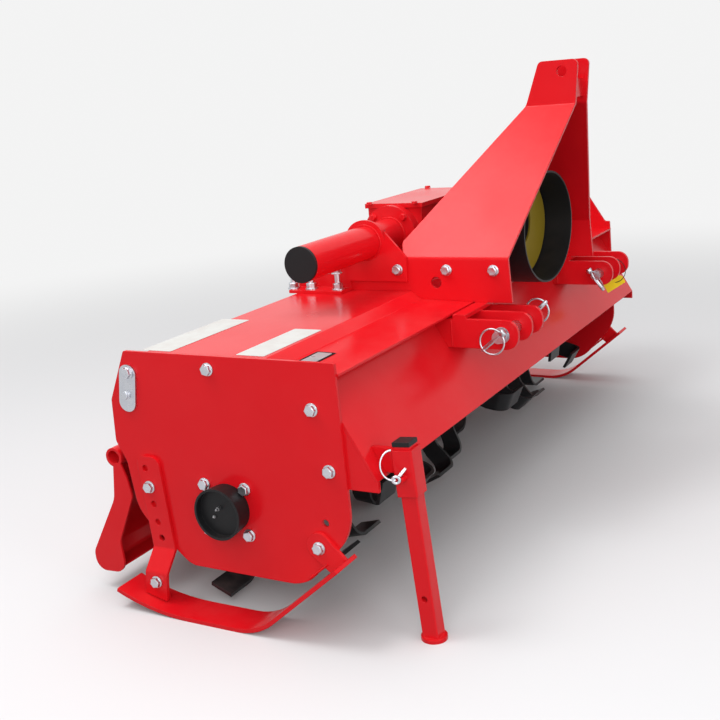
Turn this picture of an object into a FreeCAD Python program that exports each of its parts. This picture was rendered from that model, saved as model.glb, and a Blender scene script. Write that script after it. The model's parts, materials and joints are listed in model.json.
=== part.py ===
import FreeCAD, Part
import Sketcher
import math
import os

from FreeCAD import Vector, Rotation, Placement

# Tractor-mounted rotavator, in millimetres.
# +X is the machine's right side, +Y points forward to the tractor and +Z is up.
# Every side view is drawn from one datum, a point close to the rotor axis.
# The document's origin is on the ground, below the middle of the whole machine.

doc = FreeCAD.newDocument("Rotavator")
sheet = doc.addObject("Spreadsheet::Sheet", "sizes")

sizeTable = [
    # alias, value in mm or degrees, note
    ("datumHeight", 232, "height of the datum over the ground"),
    ("datumForward", -63.55, "place of the datum along Y"),
    ("datumSide", -33, "place of the mast's centre plane along X"),
    ("rotorForward", 25, "rotor axis, ahead of the datum"),
    ("rotorRise", 16, "rotor axis, over the datum"),
    ("plateOuter", 986, "centre plane to the outer face of the right side plate"),
    ("leftOuter", 850, "centre plane to the outer face of the left side plate"),
    ("plateThick", 8, "side plate"),
    ("deckTop", 345, "top of the deck over the datum"),
    ("deckThick", 5, "deck sheet"),
    ("deckRear", -150, "rear bend of the deck"),
    ("deckCrease", 153, "upper front bend of the deck"),
    ("stepForward", 179, "lower front bend of the deck"),
    ("stepFall", 19, "lower front bend, below the deck's top"),
    ("lipForward", 318, "front edge of the deck"),
    ("lipFall", 23, "front edge, below the deck's top"),
    ("deckTailForward", -262, "lower edge of the deck's rear slope"),
    ("deckTailRise", 150, "height of that edge"),
    ("apronThick", 6, "front apron sheet"),
    ("apronLowForward", 386, "lower edge of the apron"),
    ("apronLowRise", 110, "height of that edge"),
    ("apronMidForward", 318, "apron where it leaves the side plate's edge"),
    ("apronMidRise", 226, "height of that point"),
    ("gussetThick", 8, "corner gusset"),
    ("gussetHang", 23, "gusset below the apron's lower edge"),
    ("plateHoleForward", 262, "open hole in the right side plate"),
    ("plateHoleRise", 11, "height of that hole"),
    ("mastFoot", 322, "centre plane to the outer face of a mast foot"),
    ("mastThick", 8, "mast plate"),
    ("mastHeight", 525, "top of the mast over the deck"),
    ("mastBendRise", 83, "lower mast bend over the deck"),
    ("mastHeadHeight", 105, "upper mast bend below the top"),
    ("mastHead", 49, "centre plane to the outer face of the mast head"),
    ("topHoleForward", 466, "top link hole"),
    ("topHoleDrop", 27, "top link hole below the top of the mast"),
    ("topHoleRadius", 12.8, "radius of the top link hole"),
    ("hitchInset", 25, "outer face of the inner hitch plate, inside the mast foot's"),
    ("hitchMiddleStep", 72, "inner to middle hitch plate"),
    ("hitchOuterStep", 161, "inner to outer hitch plate"),
    ("hitchThick", 10, "hitch plate"),
    ("hitchDrop", 11, "top of the hitch plates, below the deck's front edge"),
    ("hitchHeight", 68, "hitch plates"),
    ("hitchFront", 482, "front of the hitch plates"),
    ("hitchFlat", 4, "flat over and under the rounds of a hitch plate's front"),
    ("bridgeThick", 10, "bridge plate over the hitch plates"),
    ("bridgeGap", 5, "bridge plate ahead of the deck's edge"),
    ("bridgeWidth", 33, "bridge plate along the machine"),
    ("pinInset", 39, "lower link pin behind the front of its plates"),
    ("pinRadius", 14, "radius of the lower link pin"),
    ("pinProud", 27, "length of pin outside the outer plates"),
    ("pinProudInner", 34, "length of pin inside the inner plates"),
    ("pinCollar", 3, "collar of the pin against the outer plate"),
    ("pinCollarRadius", 19, "radius of that collar"),
    ("shaftForward", 36, "cross shaft axis, ahead of the datum"),
    ("shaftOver", 123, "cross shaft axis over the deck"),
    ("tubeRadius", 42, "cross tube"),
    ("tubeEnd", 630, "free end of the support tube"),
    ("flangeReach", 30, "side flange of the gearbox"),
    ("capThick", 8, "tube end cap"),
    ("bracketThick", 8, "tube bracket"),
    ("bracketOver", 25, "lower edge of the tube bracket over the deck"),
    ("bracketWall", 14, "bracket round the tube"),
    ("bracketFootThick", 8, "foot of the bracket on the deck"),
    ("footReach", 50, "reach of that foot"),
    ("boxHalf", 165, "half width of the gearbox"),
    ("boxBehind", 74, "gearbox behind the shaft"),
    ("boxAhead", 82, "gearbox ahead of the shaft"),
    ("boxBelow", 76, "gearbox below the shaft"),
    ("boxAbove", 65, "gearbox above the shaft"),
    ("coverThick", 12, "gearbox cover"),
    ("coverProud", 6, "overhang of the cover"),
    ("flangeRadius", 74, "side flange of the gearbox"),
    ("noseRadius", 58, "input nose of the gearbox"),
    ("noseLength", 60, "length of the input nose"),
    ("ptoRadius", 17.5, "splined end of the input shaft"),
    ("ptoLength", 98, "length of that end"),
    ("ptoJournal", 25, "journal of the input shaft"),
    ("ptoJournalLength", 46, "journal outside the nose"),
    ("splineLength", 76, "length of the splines"),
    ("splineDepth", 2.5, "depth of a spline groove"),
    ("splineWidth", 8.5, "width of a spline groove"),
    ("fitGap", 0.05, "radial running clearance"),
    ("guardForward", 403, "open rim of the input guard"),
    ("guardDepth", 83, "depth of the input guard"),
    ("guardDrop", 13, "centre of the guard below the shaft"),
    ("guardHalfWidth", 184, "half width of the guard"),
    ("guardHalfHeight", 143, "half height of the guard"),
    ("guardWall", 5, "wall of the guard"),
    ("guardDiscThick", 5, "disc in the guard"),
    ("collarGap", 1, "collar of the guard round the nose"),
    ("discRim", 8, "disc inside the guard's wall"),
    ("hubRadius", 57, "rim of the bearing cap"),
    ("hubFoot", 53, "bearing cap at the plate"),
    ("hubLength", 44, "bearing cap over the plate"),
    ("hubRecess", 16, "recess in the bearing cap"),
    ("hubRim", 5, "rim of the bearing cap"),
    ("stubRadius", 22, "stub shaft of the rotor"),
    ("stubCover", 6, "recess of the cap over the stub's end"),
    ("stubGap", 3, "gap at the stub's end"),
    ("stubClear", 12, "hole in a side plate round the stub"),
    ("rotorTube", 44, "radius of the rotor tube"),
    ("rotorGap", 18, "gap between a side plate and the rotor tube"),
    ("discRadius", 92, "radius of a hoe disc"),
    ("discThick", 8, "hoe disc"),
    ("discCount", 8, "hoe discs along the rotor"),
    ("hoeClear", 24, "hoe tips of the outer disc to the side plate"),
    ("discTwist", 22.5, "turn from one hoe disc to the next"),
    ("hoeCount", 3, "hoes on each face of a disc"),
    ("hoeRadius", 221, "rotor axis to the outer face of a hoe's blade"),
    ("hoeRoot", 54, "inner end of a hoe"),
    ("hoeThick", 8, "hoe"),
    ("hoeWidth", 50, "width of a hoe at its root"),
    ("hoeReach", 98, "sideways reach of a hoe's blade"),
    ("hoeBend", 26, "inner bend radius of a hoe"),
    ("skidInset", 12, "inner edge of a skid behind its mounting face"),
    ("skidWidth", 82, "width of a skid"),
    ("skidThick", 9, "thickness of a skid"),
    ("skidFlatRear", -64, "rear end of the skid's flat"),
    ("skidFlatFront", 60, "front end of the skid's flat"),
    ("skidFrontRadius", 150, "front curve of a skid"),
    ("skidSlope", 40, "slope of the skid's front"),
    ("skidFrontForward", 322, "front end of a skid"),
    ("skidRearRadius", 510, "rear curve of a skid"),
    ("skidTailForward", -260, "rear end of a skid"),
    ("spacerLength", 70, "left side plate to its skid"),
    ("spacerRadius", 17, "spacer of the left skid"),
    ("tabThick", 8, "front tab of a skid"),
    ("tabWidth", 61, "width of the front tab"),
    ("tabReach", 84, "length of the front tab"),
    ("tabInset", 33, "front tab behind the skid's front end"),
    ("tabLean", 40, "front tab from the horizontal"),
    ("pivotForward", 250, "front bolt of a skid"),
    ("pivotRise", -40, "height of that bolt"),
    ("barThick", 8, "height bar of a skid"),
    ("barWidth", 60, "width of the height bar"),
    ("barOver", 67, "height bar over its bolt"),
    ("barGap", 2, "lower end of the height bar over the skid"),
    ("barBendHigh", -100, "upper bend of the height bar"),
    ("barBendLow", -148, "lower bend of the height bar"),
    ("barStep", 30, "outward step of the height bar"),
    ("barHoleRadius", 7.5, "holes in the height bar"),
    ("barBoltForward", -178, "bolt of the height bar"),
    ("barBoltRise", 45, "height of that bolt"),
    ("lugThick", 10, "rear lug of a skid"),
    ("lugWidth", 52, "width of the rear lug"),
    ("legSide", 35, "side of the parking leg"),
    ("legInset", 54, "middle of the leg, inside the right plate's outer face"),
    ("legAhead", 74, "foot of the leg ahead of the apron's lower edge"),
    ("legTilt", 4.8, "lean of the leg"),
    ("legProud", 6, "leg over its sleeve"),
    ("legHole", 92, "lower hole of the leg along its axis"),
    ("legHoleRadius", 6.5, "hole of the leg"),
    ("footRadius", 27, "foot of the leg"),
    ("footThick", 8, "foot plate"),
    ("plugThick", 9, "plug on the leg"),
    ("sleeveGap", 1, "clearance of the leg in its sleeve"),
    ("sleeveWall", 4, "wall of the sleeve"),
    ("sleeveHang", 35, "lower end of the sleeve below the apron's edge"),
    ("sleeveLength", 95, "sleeve along the leg"),
    ("legPinDrop", 55, "pin of the leg below the sleeve's top"),
    ("legPinRadius", 6, "pin of the leg"),
    ("legPinProud", 16, "pin outside the sleeve"),
    ("carrierThick", 12, "carrier of the sleeve"),
    ("carrierLift", 6, "carrier over the apron's lower edge"),
    ("carrierHeight", 50, "height of the carrier"),
    ("hingeForward", -279, "tailboard hinge"),
    ("hingeRise", 96.5, "height of the tailboard hinge"),
    ("hingeTube", 22, "radius of the hinge tube"),
    ("hingeRod", 10, "radius of the hinge rod"),
    ("hingePlay", 0.1, "radial clearance of the hinge rod"),
    ("hingeWall", 6, "wall of the tube's open ends"),
    ("hingeMouthDepth", 30, "depth of the open tube ends"),
    ("hingeLugWall", 5, "hinge lug round the rod"),
    ("hingeLugThick", 12, "hinge lug"),
    ("hingeGap", 6, "gap beside a hinge lug"),
    ("hingeLugInset", 90, "outer hinge lug from the tube's end"),
    ("hingeLugCount", 3, "hinge lugs"),
    ("boardThick", 4, "tailboard sheet"),
    ("boardEndThick", 6, "end plate of the tailboard"),
    ("caseThick", 60, "gear case outside the left plate"),
    ("caseRadius", 84, "half width of the gear case at the top"),
    ("caseLowRadius", 96, "half width of the gear case at the rotor"),
    ("cornerLinkThick", 5, "corner link plate"),
    ("cornerLinkWidth", 44, "width of the corner link plate"),
    ("cornerLinkLength", 106, "length of the corner link plate"),
    ("cornerLinkForward", -206, "middle of the corner link plate"),
    ("cornerLinkRise", 263, "height of the corner link plate"),
    ("cornerLinkLean", 9, "forward lean of the corner link plate"),
    ("mastHoleForward", 222, "open hole in the mast foot"),
    ("mastHoleOver", 23, "height of that hole over the deck"),
    ("mastHoleRadius", 14, "radius of that hole"),
    ("boltRadius", 8, "open bolt holes"),
    ("crossAhead", 20, "crosspiece ahead of the top link hole"),
    ("crossDrop", 43, "crosspiece below the top link hole"),
    ("crossWidth", 44, "height of the crosspiece's plate"),
    ("crossThick", 10, "crosspiece between the mast heads"),
]
for row, (alias, value, note) in enumerate(sizeTable, start=1):
    sheet.set("A%d" % row, alias)
    sheet.set("B%d" % row, str(value))
    sheet.set("C%d" % row, note)
    sheet.setAlias("B%d" % row, alias)
doc.recompute()


class Sizes:
    """The sheet's values under their own names."""

    def __getattr__(self, alias):
        return float(sheet.get(alias))


s = Sizes()
parts = []


def sheetValue(expression):
    """The number behind a sum over the sheet's aliases, which may hold brackets."""
    total, sign, levels = 0.0, 1, [1]
    for mark in "()+-":
        expression = expression.replace(mark, " %s " % mark)
    for term in expression.split():
        if term == "(":
            levels.append(levels[-1] * sign)
        elif term == ")":
            levels.pop()
        elif term not in "+-":
            number = float(sheet.get(term[6:])) if term.startswith("sizes.") else float(term)
            total += levels[-1] * sign * number
        sign = -1 if term == "-" else 1
    return total


# Places that follow from the sizes, as sums for the sheet and as numbers for the outlines

shaftRise = "sizes.deckTop + sizes.shaftOver"
tubeStart = "sizes.boxHalf + sizes.flangeReach"
boxFront = "sizes.shaftForward + sizes.boxAhead"
collarRadius = "sizes.noseRadius + sizes.collarGap + sizes.guardWall"
collarInside = "sizes.noseRadius + sizes.collarGap"
rightInner = "sizes.plateOuter - sizes.plateThick"
leftInner = "-sizes.leftOuter + sizes.plateThick"
leftSeat = "sizes.leftOuter + sizes.spacerLength"
stubReach = "sizes.hubLength - sizes.hubRecess - sizes.stubCover"
hitchInner = "sizes.mastFoot - sizes.hitchInset"
hoodWidth = "sizes.plateOuter + sizes.leftOuter - 2 * sizes.plateThick"
legForward = "sizes.apronLowForward + sizes.legAhead"

lipRise = s.deckTop - s.lipFall
stepRise = s.deckTop - s.stepFall
hitchTop = lipRise - s.hitchDrop
hitchLow = hitchTop - s.hitchHeight
mastSeat = hitchTop + s.bridgeThick
mastTop = s.deckTop + s.mastHeight
mastBendLow = s.deckTop + s.mastBendRise
mastBendHigh = mastTop - s.mastHeadHeight
topHoleRise = mastTop - s.topHoleDrop
shaftHeight = sheetValue(shaftRise)
lean = math.radians(s.legTilt)


def alongLeg(height):
    """Distance from the foot along the leg to a height over the datum."""
    return (height + s.datumHeight) / math.cos(lean)


sleeveLow = alongLeg(s.apronLowRise - s.sleeveHang)
sleeveHigh = sleeveLow + s.sleeveLength
legTop = sleeveHigh + s.legProud
legPinRise = sleeveHigh - s.legPinDrop


def place(item, x="0", y="0", z="0"):
    """Tie an object's place to the sheet, from the datum."""
    item.setExpression(".Placement.Base.x", "sizes.datumSide + (%s)" % x)
    item.setExpression(".Placement.Base.y", "sizes.datumForward + (%s)" % y)
    item.setExpression(".Placement.Base.z", "sizes.datumHeight + (%s)" % z)


def newBody(label, x="0", y="0", z="0"):
    body = doc.addObject("PartDesign::Body", label)
    body.Label = label
    place(body, x, y, z)
    parts.append(body)
    return body


def newSketch(body, plane, offset="0"):
    """A sketch on one of the body's own planes, set off along the plane's normal."""
    sketch = body.newObject("Sketcher::SketchObject", body.Name + "_sketch")
    for feature in body.Origin.OriginFeatures:
        if feature.Role == plane:
            sketch.AttachmentSupport = [(feature, "")]
    sketch.MapMode = "FlatFace"
    sketch.setExpression(".AttachmentOffset.Base.z", offset)
    return sketch


def unit(a, b):
    dx, dy = b[0] - a[0], b[1] - a[1]
    length = math.hypot(dx, dy)
    return dx / length, dy / length


def outlineCurves(corners):
    """Closed outline through the corners, each (u, v) or (u, v, radius of its round)."""
    count = len(corners)
    joints = []
    for i in range(count):
        before, here, after = corners[i - 1], corners[i], corners[(i + 1) % count]
        radius = here[2] if len(here) > 2 else 0
        if radius <= 0:
            joints.append(((here[0], here[1]), None, (here[0], here[1])))
            continue
        inward, outward = unit(here, before), unit(here, after)
        half = math.acos(max(-1, min(1, inward[0] * outward[0] + inward[1] * outward[1]))) / 2
        run = radius / math.tan(half)
        start = (here[0] + inward[0] * run, here[1] + inward[1] * run)
        end = (here[0] + outward[0] * run, here[1] + outward[1] * run)
        bisector = unit((0, 0), (inward[0] + outward[0], inward[1] + outward[1]))
        reach = radius / math.sin(half)
        centre = (here[0] + bisector[0] * reach, here[1] + bisector[1] * reach)
        middle = (centre[0] - bisector[0] * radius, centre[1] - bisector[1] * radius)
        joints.append((start, middle, end))
    curves = []
    for i in range(count):
        start, middle, end = joints[i]
        if middle is not None:
            curves.append(Part.Arc(Vector(*start, 0), Vector(*middle, 0), Vector(*end, 0)))
        follow = joints[(i + 1) % count][0]
        if math.dist(end, follow) > 0.001:
            curves.append(Part.LineSegment(Vector(*end, 0), Vector(*follow, 0)))
    return curves


def drawOutline(sketch, corners):
    for curve in outlineCurves(corners):
        sketch.addGeometry(curve, False)


def drawHole(sketch, u, v, radius):
    """A circle whose radius is tied to the sheet."""
    value = sheetValue(radius)
    circle = Part.Circle(Vector(u, v, 0), Vector(0, 0, 1), value)
    index = sketch.addGeometry(circle, False)
    rule = sketch.addConstraint(Sketcher.Constraint("Radius", index, value))
    sketch.setExpression("Constraints[%d]" % rule, radius)


def pad(body, sketch, length, reverse=False):
    feature = body.newObject("PartDesign::Pad", body.Name + "_pad")
    feature.Profile = sketch
    feature.setExpression("Length", length)
    feature.Reversed = reverse
    sketch.Visibility = False
    return feature


def pocket(body, sketch, length, reverse=False):
    doc.recompute()
    before = body.Shape.Volume
    feature = body.newObject("PartDesign::Pocket", body.Name + "_pocket")
    feature.Profile = sketch
    feature.setExpression("Length", length)
    feature.Reversed = reverse
    doc.recompute()
    if not body.Shape.Volume < before - 1:
        raise RuntimeError("a pocket of %s cuts nothing" % body.Label)
    return feature


def band(points, thick):
    """Outline of a bent sheet: the points are its outer line, the sheet lies to their right."""
    inner = []
    for i, here in enumerate(points):
        sides = []
        if i > 0:
            sides.append(unit(points[i - 1], here))
        if i < len(points) - 1:
            sides.append(unit(here, points[i + 1]))
        normals = [(side[1], -side[0]) for side in sides]
        nx = sum(n[0] for n in normals) / len(normals)
        ny = sum(n[1] for n in normals) / len(normals)
        scale = thick / (nx * nx + ny * ny)
        radius = here[2] if len(here) > 2 else 0
        inner.append((here[0] + nx * scale, here[1] + ny * scale, radius))
    return inner


def sheetOutline(points, thick, bend=0):
    """Closed outline of a bent sheet with rounded bends, outer line first."""
    inner = band(points, thick)
    closed = []
    last = len(points) - 1
    for i, point in enumerate(points):
        closed.append((point[0], point[1], bend + thick if 0 < i < last else 0))
    for i in range(last, -1, -1):
        closed.append((inner[i][0], inner[i][1], bend if 0 < i < last else 0))
    return roundTurns(closed, points, thick, bend)


def roundTurns(closed, points, thick, bend):
    """Swap the two radii where the sheet turns towards its outer side."""
    last = len(points) - 1
    result = list(closed)
    for i in range(1, last):
        a, b, c = points[i - 1], points[i], points[i + 1]
        turn = (b[0] - a[0]) * (c[1] - b[1]) - (b[1] - a[1]) * (c[0] - b[0])
        if turn > 0:
            mate = 2 * last + 1 - i
            result[i] = (closed[i][0], closed[i][1], bend)
            result[mate] = (closed[mate][0], closed[mate][1], bend + thick)
    return result


def plate(label, x, outline, thick, holes=()):
    """A flat plate across X with its holes, x being its face towards -X."""
    body = newBody(label, x)
    sketch = newSketch(body, "YZ_Plane")
    drawOutline(sketch, outline)
    for u, v, radius in holes:
        drawHole(sketch, u, v, radius)
    pad(body, sketch, thick)
    return body


def addPlate(body, offset, outline, thick, holes=()):
    """A further plate across X in the same body."""
    sketch = newSketch(body, "YZ_Plane", offset)
    drawOutline(sketch, outline)
    for u, v, radius in holes:
        drawHole(sketch, u, v, radius)
    return pad(body, sketch, thick)


axisX, axisY, axisZ = Vector(1, 0, 0), Vector(0, 1, 0), Vector(0, 0, 1)
def foldedSheet(body, start, reach, outline, fold, holes=()):
    """A sheet folded across X from start on: the fold's outline, cut to the side outline."""
    sketch = newSketch(body, "YZ_Plane", start)
    drawOutline(sketch, outline)
    pad(body, sketch, reach)
    base, width = sheetValue(start), sheetValue(reach)
    low = min(z for x, z, r in fold) - 10
    high = max(z for x, z, r in fold) + 10
    left = base + min([0] + [x for x, z, r in fold]) - 10
    right = base + max([width] + [x for x, z, r in fold]) + 10
    rear = min(point[0] for point in outline) - 10
    front = max(point[0] for point in outline) + 10
    knife = newSketch(body, "XZ_Plane", "%.3f" % -rear)
    drawOutline(knife, [(left, low), (right, low), (right, high), (left, high)])
    drawOutline(knife, [(base + x, z, r) for x, z, r in fold])
    pocket(body, knife, "%.3f" % (front - rear))
    drill = newSketch(body, "YZ_Plane", "%s + %s" % (start, reach))
    for u, v, radius in holes:
        drawHole(drill, u, v, radius)
    pocket(body, drill, reach)


# Hood: deck, apron and corner gussets

def deckLine():
    return [
        (s.deckTailForward, s.deckTailRise),
        (s.deckTailForward + 24, s.deckTailRise + 90),
        (s.deckRear, s.deckTop),
        (s.deckCrease, s.deckTop),
        (s.stepForward, stepRise),
        (s.lipForward, lipRise),
    ]


def buildDeck():
    body = newBody("deck", leftInner)
    sketch = newSketch(body, "YZ_Plane")
    drawOutline(sketch, sheetOutline(deckLine(), s.deckThick, 3))
    pad(body, sketch, hoodWidth)


def deckUnderside(y):
    """Height of the deck's underside ahead of its lower front bend."""
    fall = (stepRise - lipRise) / (s.lipForward - s.stepForward)
    return stepRise - (y - s.stepForward) * fall - s.deckThick * math.hypot(1, fall)


def apronLine(z, depth=0):
    """Place along Y of the apron's outer face, or of a face that lies deeper by depth."""
    lean = (s.apronLowForward - s.apronMidForward) / (s.apronMidRise - s.apronLowRise)
    return s.apronMidForward + (s.apronMidRise - z) * lean - depth * math.hypot(1, lean)


def apronTop(depth):
    """Point where the apron's face at this depth meets the deck."""
    z = lipRise
    for step in range(40):
        z = deckUnderside(apronLine(z, depth))
    return apronLine(z, depth), z


def buildApron():
    body = newBody("apron", leftInner)
    sketch = newSketch(body, "YZ_Plane")
    outline = [
        apronTop(0),
        (s.apronLowForward, s.apronLowRise),
        (apronLine(s.apronLowRise, s.apronThick), s.apronLowRise),
        apronTop(s.apronThick),
    ]
    drawOutline(sketch, outline)
    pad(body, sketch, hoodWidth)


def buildGussets():
    low, rear, high = s.apronLowRise - s.gussetHang, s.lipForward - 38, s.apronMidRise + 6
    outline = [
        (rear, low),
        (s.apronLowForward, low),
        (s.apronLowForward, s.apronLowRise),
        (apronLine(s.apronLowRise, s.apronThick), s.apronLowRise),
        (apronLine(high, s.apronThick), high),
        (rear, high),
    ]
    body = plate("corner_gussets", leftInner, outline, "sizes.gussetThick")
    addPlate(body, "%s - sizes.gussetThick" % hoodWidth, outline, "sizes.gussetThick")


buildDeck()
buildApron()
buildGussets()


# Side plates, the left one taller round the cross shaft

plateCorners = [
    # forward, rise, radius
    (322, -5, 118),
    (203, -136, 96),
    (-95, -134, 48),
    (-225, -25, 90),
    (-240, 92, 36),
    (-264, 138, 16),
    (-260, 233, 20),
]
towerCorners = [
    # forward and rise from the cross shaft, radius
    (-190, -123, 20),
    (-118, -60, 40),
    (-100, 96, 60),
    (100, 96, 60),
    (196, -18, 40),
    (262, -123, 10),
]


def buildSidePlates():
    stub = (s.rotorForward, s.rotorRise, "sizes.stubRadius + sizes.stubClear")
    open_hole = (s.plateHoleForward, s.plateHoleRise, "sizes.boltRadius")
    top = [(s.lipForward - 4, s.deckTop, 4)]
    rear = [(plateCorners[-1][0] + 52, s.deckTop, 6)]
    tower = [(s.shaftForward + y, shaftHeight + z, r) for y, z, r in towerCorners]
    left = top + plateCorners + rear + tower
    body = plate("side_plates", "-sizes.leftOuter", left, "sizes.plateThick", [stub])
    right = top + plateCorners + rear
    addPlate(body, "sizes.leftOuter + " + rightInner, right, "sizes.plateThick", [stub, open_hole])


buildSidePlates()


# Headstock: two folded mast plates, the crosspiece between them and the hitch plates

def mastOutline():
    """Side view of a mast plate, its head round the top link hole."""
    hole, foot = s.topHoleForward, s.deckTop + 57
    return [
        (418, mastSeat),
        (412, mastBendLow, 30),
        (hole + 33, mastBendHigh, 60),
        (hole + 42, mastTop, 14),
        (hole - 58, mastTop, 14),
        (hole - 95, mastBendHigh, 60),
        (122, mastBendLow + 34, 10),
        (137, mastBendLow),
        (137, foot),
        (-160, foot, 12),
        (-160, s.deckTop),
        (s.deckCrease, s.deckTop),
        (s.stepForward, stepRise),
        (s.lipForward, lipRise),
        (s.lipForward + s.bridgeGap, mastSeat),
    ]


def buildMast():
    body = newBody("mast_plates")
    low, high = hitchTop - 40, mastTop + 40
    foot, head = s.mastFoot, s.mastHead
    line = [(-foot, low), (-foot, mastBendLow), (-head, mastBendHigh), (-head, high)]
    fold = sheetOutline(line, s.mastThick, 6)
    holes = [
        (s.topHoleForward, topHoleRise, "sizes.topHoleRadius"),
        (s.mastHoleForward, s.deckTop + s.mastHoleOver, "sizes.mastHoleRadius"),
    ]
    foldedSheet(body, "0", "sizes.mastFoot", mastOutline(), [(-x, z, r) for x, z, r in fold], holes)
    fold = [(foot + x, z, r) for x, z, r in fold]
    foldedSheet(body, "-sizes.mastFoot", "sizes.mastFoot", mastOutline(), fold, holes)


def buildMastSpacer():
    """Crosspiece between the mast heads."""
    ahead = "sizes.topHoleForward + sizes.crossAhead"
    rise = "sizes.deckTop + sizes.mastHeight - sizes.topHoleDrop - sizes.crossDrop"
    body = newBody("mast_spacer", "-sizes.mastHead + sizes.mastThick", ahead, rise)
    half, thick = s.crossWidth / 2, s.crossThick / 2
    sketch = newSketch(body, "YZ_Plane")
    drawOutline(sketch, [(-thick, -half), (thick, -half), (thick, half), (-thick, half)])
    pad(body, sketch, "2 * (sizes.mastHead - sizes.mastThick)")


def hitchOutline():
    low, high, front = hitchLow, hitchTop, s.hitchFront
    turn = s.hitchHeight / 2 - s.hitchFlat
    return [
        (apronLine(high), high),
        (front, high, turn),
        (front, low, turn),
        (apronLine(low), low),
    ]


def buildHitch():
    """Three plates on each side and the bridge over them."""
    middle = hitchTop - s.hitchHeight / 2
    pinHole = [(s.hitchFront - s.pinInset, middle, "sizes.pinRadius")]
    rear = s.lipForward + s.bridgeGap
    front = rear + s.bridgeWidth
    bridge = [(rear, hitchTop), (front, hitchTop), (front, mastSeat), (rear, mastSeat)]
    body = newBody("hitch_plates")
    for step in ("0", "sizes.hitchMiddleStep", "sizes.hitchOuterStep"):
        face = "%s + %s" % (hitchInner, step)
        addPlate(body, "-(%s)" % face, hitchOutline(), "sizes.hitchThick", pinHole)
        addPlate(body, "%s - sizes.hitchThick" % face, hitchOutline(), "sizes.hitchThick", pinHole)
    width = "sizes.hitchOuterStep + sizes.hitchThick"
    addPlate(body, "-(%s + sizes.hitchOuterStep)" % hitchInner, bridge, width)
    addPlate(body, "%s - sizes.hitchThick" % hitchInner, bridge, width)


def buildHitchPins():
    """Lower link pins, each with a collar against the outer plate."""
    inside = hitchInner + " - sizes.hitchThick"
    outside = hitchInner + " + sizes.hitchOuterStep"
    inner, outer = inside + " - sizes.pinProudInner", outside + " + sizes.pinProud"
    rise = "sizes.deckTop - sizes.lipFall - sizes.hitchDrop - sizes.hitchHeight / 2"
    body = newBody("hitch_pins", "0", "sizes.hitchFront - sizes.pinInset", rise)
    stretches = [
        (inner, outer, "sizes.pinRadius"),
        (outside, outside + " + sizes.pinCollar", "sizes.pinCollarRadius"),
    ]
    for start, end, radius in stretches:
        for offset in (start, "-(%s)" % end):
            sketch = newSketch(body, "YZ_Plane", offset)
            drawHole(sketch, 0, 0, radius)
            pad(body, sketch, "(%s) - (%s)" % (end, start))


buildMast()
buildMastSpacer()
buildHitch()
buildHitchPins()


# Cross shaft: gearbox, its tubes and their brackets, the gear case on the left

def buildGearbox():
    """Casting with its cover, a flange on each side and the input nose."""
    body = newBody("gearbox", "-sizes.boxHalf", "sizes.shaftForward", shaftRise)
    rear, front, low, high = -s.boxBehind, s.boxAhead, -s.boxBelow, s.boxAbove
    casting = [(rear, low, 30), (front, low, 30), (front, high), (rear, high)]
    sketch = newSketch(body, "YZ_Plane")
    drawOutline(sketch, casting)
    pad(body, sketch, "2 * sizes.boxHalf")
    proud, top = s.coverProud, high + s.coverThick
    cover = [(rear - proud, high), (front + proud, high), (front + proud, top), (rear - proud, top)]
    addPlate(body, "-sizes.coverProud", cover, "2 * sizes.boxHalf + 2 * sizes.coverProud")
    for offset in ("-sizes.flangeReach", "2 * sizes.boxHalf"):
        flange = newSketch(body, "YZ_Plane", offset)
        drawHole(flange, 0, 0, "sizes.flangeRadius")
        pad(body, flange, "sizes.flangeReach")
    nose = newSketch(body, "XZ_Plane", "-sizes.boxAhead")
    drawHole(nose, s.boxHalf, 0, "sizes.noseRadius")
    drawHole(nose, s.boxHalf, 0, "sizes.ptoJournal + sizes.fitGap")
    pad(body, nose, "sizes.noseLength", True)


def addTube(body, start, length):
    sketch = newSketch(body, "YZ_Plane", start)
    drawHole(sketch, 0, 0, "sizes.tubeRadius")
    pad(body, sketch, length)


def buildTubes():
    """Support tube on the right, drive tube on the left."""
    body = newBody("cross_tubes", "0", "sizes.shaftForward", shaftRise)
    addTube(body, tubeStart, "sizes.tubeEnd - (%s)" % tubeStart)
    addTube(body, leftInner, "sizes.leftOuter - sizes.plateThick - (%s)" % tubeStart)


def buildBrackets():
    """Uprights round the tubes, each with its foot angle on the deck."""
    y, z, ring = s.shaftForward, shaftHeight, s.tubeRadius + s.bracketWall
    deck, low, web = s.deckTop, s.deckTop + s.bracketOver, s.deckTop + 59
    upright = [
        (y - 62, low),
        (y + 110, low),
        (y + 112, z - 37),
        (y + ring, z + 26, 14),
        (y + ring, z + ring, ring - 2),
        (y - ring, z + ring, ring - 2),
        (y - ring, z - 28),
        (y - 62, z - 48),
    ]
    rear, front, foot = -172, y - 52, deck + s.bracketFootThick
    body = newBody("tube_brackets")
    thick, reach = "sizes.bracketThick", "sizes.footReach + sizes.bracketThick"
    pieces = [
        (upright, thick, [(y, z, "sizes.tubeRadius")]),
        ([(rear, deck), (front, deck), (front, web), (rear, web)], thick, []),
        ([(rear, deck), (front, deck), (front, foot), (rear, foot)], reach, []),
    ]
    for outline, width, holes in pieces:
        addPlate(body, "sizes.mastFoot", outline, width, holes)
        addPlate(body, "-sizes.mastFoot - (%s)" % width, outline, width, holes)


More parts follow.
